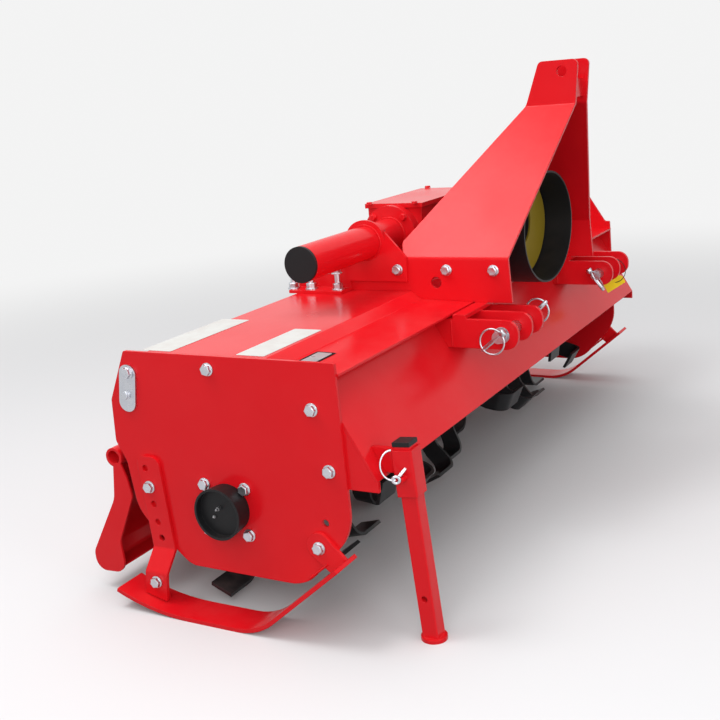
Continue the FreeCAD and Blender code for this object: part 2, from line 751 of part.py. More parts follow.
def buildGearCase():
    body = newBody("gear_case", "-sizes.leftOuter - sizes.caseThick")
    wide, low = s.caseRadius, s.caseLowRadius
    top, bottom = shaftHeight + wide, s.rotorRise - low
    outline = [
        (s.shaftForward - wide, top, wide - 3),
        (s.shaftForward + wide, top, wide - 3),
        (s.rotorForward + low, bottom, low - 3),
        (s.rotorForward - low, bottom, low - 3),
    ]
    sketch = newSketch(body, "YZ_Plane")
    drawOutline(sketch, outline)
    pad(body, sketch, "sizes.caseThick")
    bore = newSketch(body, "YZ_Plane", "sizes.caseThick")
    drawHole(bore, s.rotorForward, s.rotorRise, "sizes.stubRadius + sizes.fitGap")
    pocket(body, bore, stubReach + " + sizes.stubGap")


def buildInputShaft():
    """Journal in the nose and the splined end."""
    body = newBody("input_shaft", "0", boxFront, shaftRise)
    neck = "sizes.noseLength + sizes.ptoJournalLength"
    journal = newSketch(body, "XZ_Plane")
    drawHole(journal, 0, 0, "sizes.ptoJournal")
    pad(body, journal, neck, True)
    spline = newSketch(body, "XZ_Plane", "-(%s)" % neck)
    drawHole(spline, 0, 0, "sizes.ptoRadius")
    pad(body, spline, "sizes.ptoLength", True)
    groove = newSketch(body, "XZ_Plane", "-(%s + sizes.ptoLength)" % neck)
    inner, outer, half = s.ptoRadius - s.splineDepth, s.ptoRadius + 5, s.splineWidth / 2
    for i in range(6):
        turn = math.radians(60 * i)
        corners = [(inner, -half), (outer, -half), (outer, half), (inner, half)]
        drawOutline(groove, [turned(u, v, turn) for u, v in corners])
    pocket(body, groove, "sizes.splineLength", True)


def turned(u, v, angle):
    return u * math.cos(angle) - v * math.sin(angle), u * math.sin(angle) + v * math.cos(angle)


def drawOval(sketch, halfWidth, halfHeight):
    ellipse = Part.Ellipse(Vector(halfWidth, 0, 0), Vector(0, halfHeight, 0), Vector(0, 0, 0))
    sketch.addGeometry(ellipse, False)


def buildGuard():
    """Oval cup round the input shaft, on a collar from the gearbox nose."""
    rise = shaftRise + " - sizes.guardDrop"
    body = newBody("pto_guard", "0", "sizes.guardForward", rise)
    wide, tall, wall = s.guardHalfWidth, s.guardHalfHeight, s.guardWall
    rim = newSketch(body, "XZ_Plane")
    drawOval(rim, wide, tall)
    drawOval(rim, wide - wall, tall - wall)
    pad(body, rim, "sizes.guardDepth")
    floor = "sizes.guardDepth - sizes.guardWall"
    back = newSketch(body, "XZ_Plane", floor)
    drawOval(back, wide - wall, tall - wall)
    drawHole(back, 0, s.guardDrop, collarInside)
    pad(body, back, "sizes.guardWall")
    collar = newSketch(body, "XZ_Plane", floor)
    drawHole(collar, 0, s.guardDrop, collarRadius)
    drawHole(collar, 0, s.guardDrop, collarInside)
    pad(body, collar, "sizes.guardForward - (%s) - (%s)" % (floor, boxFront))
    disc = newBody("guard_disc", "0", "sizes.guardForward - (%s)" % floor, rise)
    face = newSketch(disc, "XZ_Plane")
    drawOval(face, wide - wall - s.discRim, tall - wall - s.discRim)
    drawHole(face, 0, s.guardDrop, collarInside)
    pad(disc, face, "sizes.guardDiscThick", True)


buildGearbox()
buildTubes()
buildBrackets()
buildGearCase()
buildInputShaft()
buildGuard()


# Rotor, and the caps of its stub and of the support tube

def buildEndCaps():
    """Cap over the rotor's stub, widening to its open rim, and the cap of the support tube."""
    body = newBody("end_caps", "sizes.plateOuter", "sizes.rotorForward", "sizes.rotorRise")
    bore, depth = s.stubRadius + s.fitGap, sheetValue(stubReach) + s.stubGap
    length, floor, inside = s.hubLength, s.hubLength - s.hubRecess, s.hubRadius - s.hubRim
    profile = newSketch(body, "XY_Plane")
    drawOutline(profile, [
        (0, bore),
        (depth, bore),
        (depth, 0),
        (floor, 0),
        (floor, inside),
        (length, inside),
        (length, s.hubRadius),
        (0, s.hubFoot),
    ])
    turn = body.newObject("PartDesign::Revolution", "end_caps_turn")
    turn.Profile = profile
    turn.ReferenceAxis = (profile, ["H_Axis"])
    turn.Angle = 360
    lid = newSketch(body, "YZ_Plane", "sizes.tubeEnd - sizes.plateOuter")
    drawHole(lid, s.shaftForward - s.rotorForward, shaftHeight - s.rotorRise, "sizes.tubeRadius")
    pad(body, lid, "sizes.capThick")


def flatFace(corners, mapping):
    """A face through the corners, laid into space by the mapping."""
    wire = Part.Wire([curve.toShape() for curve in outlineCurves(corners)])
    face = Part.Face(wire)
    face.Placement = mapping
    return face


def hoeShape(side):
    """One hoe: the bent profile along the rotor, cut to its outline seen from the end."""
    reach, top = s.hoeReach, s.hoeRadius
    line = [(side * reach, top), (0, top), (0, s.hoeRoot)]
    bent = sheetOutline(line if side > 0 else [(x, z) for x, z in reversed(line)], s.hoeThick, s.hoeBend)
    upright = Placement(Vector(0, 100, 0), Rotation(axisX, 90))
    across = Placement(Vector(-reach - 10, 0, 0), Rotation(axisZ, 90) * Rotation(axisX, 90))
    half = s.hoeWidth / 2
    outline = [
        (half, s.hoeRoot),
        (half - 3, top - 48),
        (8, top + 12),
        (-half - 22, top + 12),
        (-half - 2, top - 58),
        (-half, s.hoeRoot),
    ]
    profile = flatFace(bent, upright).extrude(Vector(0, -200, 0))
    side = flatFace(outline, across).extrude(Vector(2 * reach + 20, 0, 0))
    return profile.common(side)


def buildRotor():
    left, right = -s.leftOuter, s.plateOuter
    start, end = left + s.plateThick + s.rotorGap, right - s.plateThick - s.rotorGap
    reach, inset = sheetValue(stubReach), s.hoeReach + s.hoeClear
    shape = Part.makeCylinder(s.rotorTube, end - start, Vector(start, 0, 0), axisX)
    stub = Part.makeCylinder(s.stubRadius, right - left + 2 * reach, Vector(left - reach, 0, 0), axisX)
    half = s.discThick / 2
    count, hoes = int(s.discCount), int(s.hoeCount)
    first = left + s.plateThick + inset
    pitch = (right - s.plateThick - inset - first) / (count - 1)
    disc = Part.makeCylinder(s.discRadius, s.discThick, Vector(-half, 0, 0), axisX)
    blades = []
    for side in (1, -1):
        blade = hoeShape(side)
        blade.translate(Vector(side * half, 0, 0))
        for i in range(hoes):
            turn = 360 / hoes * (i + (0.5 if side < 0 else 0))
            copy = blade.copy()
            copy.rotate(Vector(0, 0, 0), axisX, turn)
            blades.append(copy)
    armed = disc.fuse(blades)
    group = [stub]
    for i in range(count):
        copy = armed.copy()
        copy.rotate(Vector(0, 0, 0), axisX, s.discTwist * i)
        copy.translate(Vector(first + pitch * i, 0, 0))
        group.append(copy)
    item = doc.addObject("Part::Feature", "rotor")
    item.Label = "rotor"
    item.Shape = shape.fuse(group).removeSplitter()
    place(item, "0", "sizes.rotorForward", "sizes.rotorRise")
    parts.append(item)


buildEndCaps()
buildRotor()


# Skids with their height bars

sides = [(1, "sizes.plateOuter"), (-1, leftSeat)]
barMiddle = s.barBoltForward + 2
barHoles = [(-6, 39), (5, -43), (10, -85), (15, -122)]


def fromSeat(side, seat, depth, thick):
    """Start along X of what lies at a depth outside the mounting face of a side."""
    if side > 0:
        return "%s + (%s)" % (seat, depth)
    return "-(%s) - (%s) - (%s)" % (seat, depth, thick)


def skidLine():
    """Under side of a skid, from its tail to its front end."""
    ground = -s.datumHeight
    points = []
    reach = s.skidFlatRear - s.skidTailForward
    rearAngle = math.asin(reach / s.skidRearRadius)
    centre = (s.skidFlatRear, ground + s.skidRearRadius)
    tail = (centre[0] - s.skidRearRadius * math.sin(rearAngle), centre[1] - s.skidRearRadius * math.cos(rearAngle))
    middle = (centre[0] - s.skidRearRadius * math.sin(rearAngle / 2), centre[1] - s.skidRearRadius * math.cos(rearAngle / 2))
    slope = math.radians(s.skidSlope)
    radius = s.skidFrontRadius
    front = (s.skidFlatFront, ground + radius)
    bend = (front[0] + radius * math.sin(slope), front[1] - radius * math.cos(slope))
    bendMiddle = (front[0] + radius * math.sin(slope / 2), front[1] - radius * math.cos(slope / 2))
    nose = (s.skidFrontForward, bend[1] + (s.skidFrontForward - bend[0]) * math.tan(slope))
    return tail, middle, (s.skidFlatRear, ground), (s.skidFlatFront, ground), bendMiddle, bend, nose, rearAngle, slope


def skidTop(y):
    """Height of the skid's upper face on its straight front slope."""
    tail, middle, rear, flat, bendMiddle, bend, nose, rearAngle, slope = skidLine()
    return bend[1] + (y - bend[0]) * math.tan(slope) + s.skidThick / math.cos(slope)


def skidRearTop(y):
    """Height of the skid's upper face on its rear curve."""
    centre = s.skidRearRadius - s.datumHeight
    return centre - math.sqrt((s.skidRearRadius - s.skidThick) ** 2 - (y - s.skidFlatRear) ** 2)


def drawSkid(sketch):
    tail, middle, rear, flat, bendMiddle, bend, nose, rearAngle, slope = skidLine()
    thick = s.skidThick

    def lifted(point, angle):
        return point[0] - thick * math.sin(angle), point[1] + thick * math.cos(angle)

    def arc(a, b, c):
        sketch.addGeometry(Part.Arc(Vector(*a, 0), Vector(*b, 0), Vector(*c, 0)), False)

    def line(a, b):
        sketch.addGeometry(Part.LineSegment(Vector(*a, 0), Vector(*b, 0)), False)

    upTail, upMiddle = lifted(tail, -rearAngle), lifted(middle, -rearAngle / 2)
    upRear, upFlat = lifted(rear, 0), lifted(flat, 0)
    upBendMiddle, upBend, upNose = lifted(bendMiddle, slope / 2), lifted(bend, slope), lifted(nose, slope)
    arc(tail, middle, rear)
    line(rear, flat)
    arc(flat, bendMiddle, bend)
    line(bend, nose)
    line(nose, upNose)
    line(upNose, upBend)
    arc(upBend, upBendMiddle, upFlat)
    line(upFlat, upRear)
    arc(upRear, upMiddle, upTail)
    line(upTail, tail)


def tabOutline():
    lean = math.radians(s.tabLean)
    back = (-math.cos(lean), math.sin(lean))
    half, reach = s.tabWidth / 2, s.tabReach
    toe = s.skidFrontForward - s.tabInset
    foot = (toe, skidTop(toe))
    front = (foot[0] + half * math.sin(lean), skidTop(foot[0] + half * math.sin(lean)) - 3)
    rear = (foot[0] - half * math.sin(lean), skidTop(foot[0] - half * math.sin(lean)) - 3)
    end = (foot[0] + back[0] * reach, foot[1] + back[1] * reach)
    side = (math.sin(lean) * half, math.cos(lean) * half)
    return [
        rear,
        front,
        (end[0] + side[0], end[1] + side[1], half - 4),
        (end[0] - side[0], end[1] - side[1], half - 4),
    ]


def buildSkids():
    """Skids with their front tabs and rear lugs."""
    rear, front = barMiddle - s.lugWidth / 2, barMiddle + s.lugWidth / 2
    lug = [
        (rear, skidRearTop(rear) - 3),
        (front, skidRearTop(front) - 3),
        (front, s.barBendLow - s.barThick, 20),
        (rear, s.barBendLow - s.barThick, 20),
    ]
    body = newBody("skids")
    for side, seat in sides:
        strip = newSketch(body, "YZ_Plane", fromSeat(side, seat, "-sizes.skidInset", "sizes.skidWidth"))
        drawSkid(strip)
        pad(body, strip, "sizes.skidWidth")
        addPlate(body, fromSeat(side, seat, "0", "sizes.tabThick"), tabOutline(), "sizes.tabThick")
        depth = "sizes.barStep - sizes.lugThick"
        addPlate(body, fromSeat(side, seat, depth, "sizes.lugThick"), lug, "sizes.lugThick")


def buildBars():
    """Height bars, each stepped outward to its skid's lug."""
    reach = "sizes.barStep + sizes.barThick"
    top, half = s.barBoltRise + s.barOver, s.barWidth / 2
    rear, front, bend = barMiddle - half, barMiddle + half, s.barBoltForward + 18
    outline = [
        (rear, top, 22),
        (front, top, 22),
        (bend + half, s.barBendHigh, 40),
        (front - 1, skidRearTop(front - 1) + s.barGap),
        (rear + 2, skidRearTop(rear + 2) + s.barGap),
        (bend - half, s.barBendHigh, 40),
    ]
    step, thick, foot = s.barStep, s.barThick, skidRearTop(s.skidFlatRear)
    line = [(thick, top + 40), (thick, s.barBendHigh), (thick + step, s.barBendLow), (thick + step, foot - 40)]
    fold = sheetOutline(line, thick, 6)
    holes = [(s.barBoltForward + y, s.barBoltRise + z, "sizes.barHoleRadius") for y, z in barHoles]
    body = newBody("skid_bars")
    for side, seat in sides:
        shape = fold if side > 0 else [(step + thick - x, z, r) for x, z, r in fold]
        foldedSheet(body, fromSeat(side, seat, "0", reach), reach, outline, shape, holes)


def buildSpacers():
    """Distance pieces between the left plate and its skid."""
    body = newBody("skid_spacers", "-(%s)" % leftSeat)
    for y, z in ((s.pivotForward, s.pivotRise), (s.barBoltForward, s.barBoltRise)):
        sketch = newSketch(body, "YZ_Plane")
        drawHole(sketch, y, z, "sizes.spacerRadius")
        pad(body, sketch, "sizes.spacerLength")


buildSkids()
buildBars()
buildSpacers()


# Corner links on the side plates

def buildCornerLinks():
    y, z, turn = s.cornerLinkForward, s.cornerLinkRise, -math.radians(s.cornerLinkLean)
    wide, tall = s.cornerLinkWidth / 2, s.cornerLinkLength / 2
    outline = []
    for u, v in ((-wide, -tall), (wide, -tall), (wide, tall), (-wide, tall)):
        across, along = turned(u, v, turn)
        outline.append((y + across, z + along, wide - 1))
    body = plate("corner_links", "-sizes.leftOuter - sizes.cornerLinkThick", outline, "sizes.cornerLinkThick")
    addPlate(body, "sizes.leftOuter + sizes.cornerLinkThick + sizes.plateOuter", outline, "sizes.cornerLinkThick")


buildCornerLinks()


# Parking leg in its sleeve

def leaning(body):
    """Lean the body by the leg's angle, its origin being the foot on the ground."""
    base = body.Placement.Base
    body.Placement = Placement(base, Rotation(axisX, s.legTilt))
    body.setExpression(".Placement.Rotation.Angle", "sizes.legTilt")


def square(half, turn=0):
    return [(-half, -half, turn), (half, -half, turn), (half, half, turn), (-half, half, turn)]


def buildLeg():
    foot = ("sizes.plateOuter - sizes.legInset", legForward, "-sizes.datumHeight")
    half, gap, wall = s.legSide / 2, s.sleeveGap, s.sleeveWall
    leg = newBody("leg", *foot)
    leaning(leg)
    bar = newSketch(leg, "XY_Plane", "sizes.footThick - 3")
    drawOutline(bar, square(half, 3))
    pad(leg, bar, "%.4f - sizes.footThick + 3" % legTop)
    sole = newSketch(leg, "XY_Plane")
    sole.AttachmentOffset = Placement(Vector(0, 0, 0), Rotation(axisX, -s.legTilt))
    drawHole(sole, 0, 0, "sizes.footRadius")
    pad(leg, sole, "sizes.footThick")
    drill = newSketch(leg, "YZ_Plane", "sizes.legSide")
    drawHole(drill, 0, s.legHole, "sizes.legHoleRadius")
    pocket(leg, drill, "2 * sizes.legSide")

    plug = newBody("leg_plug", *foot)
    leaning(plug)
    cap = newSketch(plug, "XY_Plane", "%.4f" % legTop)
    drawOutline(cap, square(half + 1))
    pad(plug, cap, "sizes.plugThick")

    sleeve = newBody("leg_sleeve", *foot)
    leaning(sleeve)
    ring = newSketch(sleeve, "XY_Plane", "%.4f" % sleeveLow)
    drawOutline(ring, square(half + gap + wall, 4))
    drawOutline(ring, square(half + gap))
    pad(sleeve, ring, "sizes.sleeveLength")
    for sign in ("", "-"):
        pin = newSketch(sleeve, "YZ_Plane", sign + "(sizes.legSide / 2 + sizes.sleeveGap + 1)")
        drawHole(pin, 0, legPinRise, "sizes.legPinRadius")
        pad(sleeve, pin, "sizes.sleeveWall + sizes.legPinProud", sign == "-")


def sleeveRear(z):
    """Rear face of the sleeve at a height over the datum."""
    half = s.legSide / 2 + s.sleeveGap + s.sleeveWall
    return sheetValue(legForward) - (z + s.datumHeight) * math.tan(lean) - half / math.cos(lean)


def buildCarrier():
    low = s.apronLowRise + s.carrierLift
    high = low + s.carrierHeight
    outline = [
        (apronLine(high), high),
        (sleeveRear(high), high),
        (sleeveRear(low), low),
        (apronLine(low), low),
    ]
    start = "sizes.plateOuter - sizes.legInset - sizes.carrierThick / 2"
    plate("leg_carrier", start, outline, "sizes.carrierThick")


buildLeg()
buildCarrier()


# Tailboard on its hinge, drawn from the hinge

boardLine = [(-30, -275), (-85, -278), (-96, -242), (-13, -105), (-3, -18)]
armCorners = [
    # forward, rise, radius
    (-4, -14, 0),
    (-16, -100, 60),
    (-101, -240, 30),
    (-99, -286, 29),
    (-12, -282, 29),
    (-18, -205, 40),
    (38, -90, 20),
    (30, -50, 12),
    (16, -12, 0),
]


def hingeLugs():
    """Middle of each hinge lug from the left end of the hinge tube."""
    length = s.leftOuter + s.plateOuter
    count = int(s.hingeLugCount)
    inset = s.hingeLugInset
    return [inset + (length - 2 * inset) * i / (count - 1) for i in range(count)]


def buildHinge():
    body = newBody("hinge_bar", "-sizes.leftOuter")
    rod = newSketch(body, "YZ_Plane", "sizes.hingeMouthDepth")
    drawHole(rod, s.hingeForward, s.hingeRise, "sizes.hingeRod")
    pad(body, rod, "sizes.leftOuter + sizes.plateOuter - 2 * sizes.hingeMouthDepth")
    y, z, ring = s.hingeForward, s.hingeRise, s.hingeRod + s.hingeLugWall
    line = deckLine()
    inner = band(line, s.deckThick)
    low, high = inner[0], inner[1]
    share = 0.6
    upper = (low[0] + (high[0] - low[0]) * share, low[1] + (high[1] - low[1]) * share)
    outline = [
        (y - ring, z - ring, ring - 0.2),
        (y + ring, z - ring, ring - 0.2),
        (low[0] + 22, low[1]),
        (upper[0] + 14, upper[1]),
        upper,
        (low[0], low[1]),
        (line[0][0], line[0][1]),
        (y - ring, z + 14),
    ]
    for middle in hingeLugs():
        addPlate(body, "%.4f - sizes.hingeLugThick / 2" % middle, outline, "sizes.hingeLugThick")


def buildTailboard():
    body = newBody("tailboard", "-sizes.leftOuter")
    width = "sizes.leftOuter + sizes.plateOuter"
    length = s.leftOuter + s.plateOuter
    y, z = s.hingeForward, s.hingeRise
    half = s.hingeLugThick / 2 + s.hingeGap
    cuts = [0] + [x for middle in hingeLugs() for x in (middle - half, middle + half)] + [length]
    spans = list(zip(cuts[0::2], cuts[1::2]))
    mouth = s.hingeMouthDepth
    open_end = "sizes.hingeTube - sizes.hingeWall"
    pieces = [(0, mouth, open_end), (length - mouth, length, open_end)]
    for i, (start, end) in enumerate(spans):
        first = mouth if i == 0 else start
        last = length - mouth if i == len(spans) - 1 else end
        pieces.append((first, last, "sizes.hingeRod + sizes.hingePlay"))
    line = [(y + u, z + v) for u, v in boardLine]
    board = newSketch(body, "YZ_Plane")
    drawOutline(board, sheetOutline(line, s.boardThick, 8))
    pad(body, board, width)
    for start, end, bore in pieces:
        sketch = newSketch(body, "YZ_Plane", "%.4f" % start)
        drawHole(sketch, y, z, "sizes.hingeTube")
        drawHole(sketch, y, z, bore)
        pad(body, sketch, "%.4f" % (end - start))
    arm = [(y + u, z + v, r) for u, v, r in armCorners]
    for offset in ("0", "%s - sizes.boardEndThick" % width):
        addPlate(body, offset, arm, "sizes.boardEndThick")


buildHinge()
buildTailboard()


doc.recompute()
for item in doc.Objects:
    if "Invalid" in item.State or "Error" in item.State:
        raise RuntimeError("%s is %s" % (item.Label, item.State))
os.makedirs("parts", exist_ok=True)
for item in parts:
    shape = item.Shape
    if shape.isNull() or not shape.isValid() or shape.Volume < 1:
        raise RuntimeError("%s has no valid shape" % item.Label)
    shape.exportStep("parts/%s.step" % item.Label)
    box = shape.BoundBox
    print("%-20s solids %2d  volume %10.0f  x %7.1f %7.1f  y %7.1f %7.1f  z %7.1f %7.1f" % (
        item.Label, len(shape.Solids), shape.Volume,
        box.XMin, box.XMax, box.YMin, box.YMax, box.ZMin, box.ZMax))
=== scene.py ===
import json
import math
import bpy
from mathutils import Matrix, Vector


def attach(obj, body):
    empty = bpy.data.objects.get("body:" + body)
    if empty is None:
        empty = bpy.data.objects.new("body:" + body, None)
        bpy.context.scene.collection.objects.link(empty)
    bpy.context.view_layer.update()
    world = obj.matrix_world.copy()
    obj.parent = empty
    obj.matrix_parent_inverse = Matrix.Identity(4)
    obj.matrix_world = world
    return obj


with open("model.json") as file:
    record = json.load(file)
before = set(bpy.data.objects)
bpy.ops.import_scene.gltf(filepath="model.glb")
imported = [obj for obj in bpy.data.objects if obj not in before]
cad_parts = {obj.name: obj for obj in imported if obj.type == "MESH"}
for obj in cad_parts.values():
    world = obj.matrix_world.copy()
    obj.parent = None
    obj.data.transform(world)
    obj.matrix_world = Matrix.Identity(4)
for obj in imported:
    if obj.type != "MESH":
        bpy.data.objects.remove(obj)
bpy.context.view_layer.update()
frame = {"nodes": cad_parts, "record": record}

nodes = frame["nodes"]

# places are given in millimetres from the datum, which lies close to the rotor axis on the centre plane
mm = 0.001
datum = Vector((-0.033, -0.06355, 0.232))


def at(x, y, z):
    return datum + Vector((x, y, z)) * mm


def deselect():
    if bpy.context.mode != "OBJECT":
        bpy.ops.object.mode_set(mode="OBJECT")
    bpy.ops.object.select_all(action="DESELECT")


def pickFaces(piece, direction, closeness=0.9):
    # enters edit mode with just the faces selected that look in one direction
    bpy.ops.object.mode_set(mode="OBJECT")
    mesh = piece.data
    for vertex in mesh.vertices:
        vertex.select = False
    for edge in mesh.edges:
        edge.select = False
    for face in mesh.polygons:
        face.select = face.normal.dot(Vector(direction)) > closeness
    bpy.context.tool_settings.mesh_select_mode = (False, False, True)
    bpy.ops.object.mode_set(mode="EDIT")


def closeEdit(piece, smoothAngle=35):
    bpy.ops.object.mode_set(mode="OBJECT")
    deselect()
    piece.select_set(True)
    bpy.context.view_layer.objects.active = piece
    bpy.ops.object.shade_smooth_by_angle(angle=math.radians(smoothAngle))
    return piece


def joinPieces(parts, name):
    deselect()
    for part in parts:
        part.select_set(True)
    bpy.context.view_layer.objects.active = parts[0]
    if len(parts) > 1:
        bpy.ops.object.join()
    joined = bpy.context.view_layer.objects.active
    joined.name = name
    joined.data.name = name
    return joined


def settle(piece):
    # puts a piece's place into its mesh, so that the object sits at the origin
    deselect()
    piece.select_set(True)
    bpy.context.view_layer.objects.active = piece
    bpy.ops.object.transform_apply(location=True, rotation=True, scale=True)
    return piece


def placeCopy(master, place):
    copy = bpy.data.objects.new(master.name + ".copy", master.data.copy())
    copy.data.transform(place)
    bpy.context.scene.collection.objects.link(copy)
    return copy


def copyTo(master, point, direction, turn=0):
    # a piece modelled standing on the origin goes to a point and looks in a direction
    aim = Vector(direction).to_track_quat("Z", "Y").to_matrix().to_4x4()
    return placeCopy(master, Matrix.Translation(point) @ aim @ Matrix.Rotation(math.radians(turn), 4, "Z"))


def dressPiece(piece, material, body):
    piece.data.materials.clear()
    piece.data.materials.append(material)
    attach(piece, body)


# effects shared by several materials
def newGroup(name, inputs, outputs):
    group = bpy.data.node_groups.new(name, "ShaderNodeTree")
    for label, kind, value in inputs:
        socket = group.interface.new_socket(label, in_out="INPUT", socket_type=kind)
        socket.default_value = value
    for label, kind in outputs:
        group.interface.new_socket(label, in_out="OUTPUT", socket_type=kind)
    start = group.nodes.new("NodeGroupInput")
    end = group.nodes.new("NodeGroupOutput")
    start.location, end.location = (-900, 0), (500, 0)
    return group, start, end


def addNode(tree, kind, place, **settings):
    node = tree.nodes.new(kind)
    node.location = place
    for key, value in settings.items():
        if key in node.inputs:
            node.inputs[key].default_value = value
        else:
            setattr(node, key, value)
    return node


def buildEdgeWear():
    # rounds the look of a sharp edge and marks it for wear
    group, start, end = newGroup(
        "edgeWear",
        [("Radius", "NodeSocketFloat", 0.002), ("Patchiness", "NodeSocketFloat", 60.0)],
        [("Normal", "NodeSocketVector"), ("Mask", "NodeSocketFloat")],
    )
    link = group.links.new
    rounded = addNode(group, "ShaderNodeBevel", (-650, 100))
    rounded.samples = 6
    geometry = addNode(group, "ShaderNodeNewGeometry", (-650, -100))
    dot = addNode(group, "ShaderNodeVectorMath", (-420, 0), operation="DOT_PRODUCT")
    edge = addNode(group, "ShaderNodeMapRange", (-220, 0))
    edge.inputs["From Min"].default_value = 0.985
    edge.inputs["From Max"].default_value = 0.8
    coordinates = addNode(group, "ShaderNodeTexCoord", (-850, -320))
    noise = addNode(group, "ShaderNodeTexNoise", (-650, -320))
    noise.inputs["Detail"].default_value = 4
    patches = addNode(group, "ShaderNodeMapRange", (-420, -320))
    patches.inputs["From Min"].default_value = 0.48
    patches.inputs["From Max"].default_value = 0.66
    both = addNode(group, "ShaderNodeMath", (20, -100), operation="MULTIPLY")
    link(start.outputs["Radius"], rounded.inputs["Radius"])
    link(rounded.outputs["Normal"], dot.inputs[0])
    link(geometry.outputs["Normal"], dot.inputs[1])
    link(dot.outputs["Value"], edge.inputs["Value"])
    link(coordinates.outputs["Object"], noise.inputs["Vector"])
    link(start.outputs["Patchiness"], noise.inputs["Scale"])
    link(noise.outputs["Fac"], patches.inputs["Value"])
    link(edge.outputs["Result"], both.inputs[0])
    link(patches.outputs["Result"], both.inputs[1])
    link(rounded.outputs["Normal"], end.inputs["Normal"])
    link(both.outputs["Value"], end.inputs["Mask"])
    return group


def buildGrain():
    # fine unevenness for bump and gloss
    group, start, end = newGroup(
        "surfaceGrain",
        [("Fine", "NodeSocketFloat", 500.0), ("Broad", "NodeSocketFloat", 12.0)],
        [("Height", "NodeSocketFloat"), ("Drift", "NodeSocketFloat")],
    )
    link = group.links.new
    coordinates = addNode(group, "ShaderNodeTexCoord", (-850, 0))
    fine = addNode(group, "ShaderNodeTexNoise", (-600, 120))
    fine.inputs["Detail"].default_value = 2
    broad = addNode(group, "ShaderNodeTexNoise", (-600, -160))
    broad.inputs["Detail"].default_value = 3
    link(coordinates.outputs["Object"], fine.inputs["Vector"])
    link(coordinates.outputs["Object"], broad.inputs["Vector"])
    link(start.outputs["Fine"], fine.inputs["Scale"])
    link(start.outputs["Broad"], broad.inputs["Scale"])
    link(fine.outputs["Fac"], end.inputs["Height"])
    link(broad.outputs["Fac"], end.inputs["Drift"])
    return group


def buildDust():
    # dust that settles on faces that look upwards, in soft patches
    group, start, end = newGroup(
        "dustFilm",
        [("Amount", "NodeSocketFloat", 0.3), ("Patches", "NodeSocketFloat", 9.0)],
        [("Mask", "NodeSocketFloat")],
    )
    link = group.links.new
    coordinates = addNode(group, "ShaderNodeTexCoord", (-850, 0))
    noise = addNode(group, "ShaderNodeTexNoise", (-600, 0))
    noise.inputs["Detail"].default_value = 6
    noise.inputs["Roughness"].default_value = 0.65
    spread = addNode(group, "ShaderNodeMapRange", (-380, 0))
    spread.inputs["From Min"].default_value = 0.45
    spread.inputs["From Max"].default_value = 0.8
    geometry = addNode(group, "ShaderNodeNewGeometry", (-850, -260))
    parts = addNode(group, "ShaderNodeSeparateXYZ", (-600, -260))
    upward = addNode(group, "ShaderNodeMapRange", (-380, -260))
    upward.inputs["From Min"].default_value = -0.2
    upward.inputs["From Max"].default_value = 1.0
    first = addNode(group, "ShaderNodeMath", (-120, 0), operation="MULTIPLY")
    second = addNode(group, "ShaderNodeMath", (100, 0), operation="MULTIPLY")
    link(coordinates.outputs["Object"], noise.inputs["Vector"])
    link(start.outputs["Patches"], noise.inputs["Scale"])
    link(noise.outputs["Fac"], spread.inputs["Value"])
    link(geometry.outputs["Normal"], parts.inputs["Vector"])
    link(parts.outputs["Z"], upward.inputs["Value"])
    link(spread.outputs["Result"], first.inputs[0])
    link(upward.outputs["Result"], first.inputs[1])
    link(first.outputs["Value"], second.inputs[0])
    link(start.outputs["Amount"], second.inputs[1])
    link(second.outputs["Value"], end.inputs["Mask"])
    return group


edgeWear = buildEdgeWear()
surfaceGrain = buildGrain()
dustFilm = buildDust()


def mixColor(tree, place, factor, colorA, colorB):
    node = tree.nodes.new("ShaderNodeMix")
    node.data_type = "RGBA"
    node.location = place
    for socket, value in ((node.inputs[0], factor), (node.inputs[6], colorA), (node.inputs[7], colorB)):
        if isinstance(value, bpy.types.NodeSocket):
            tree.links.new(value, socket)
        elif isinstance(value, tuple):
            socket.default_value = (*value, 1)
        else:
            socket.default_value = value
    return node.outputs[2]


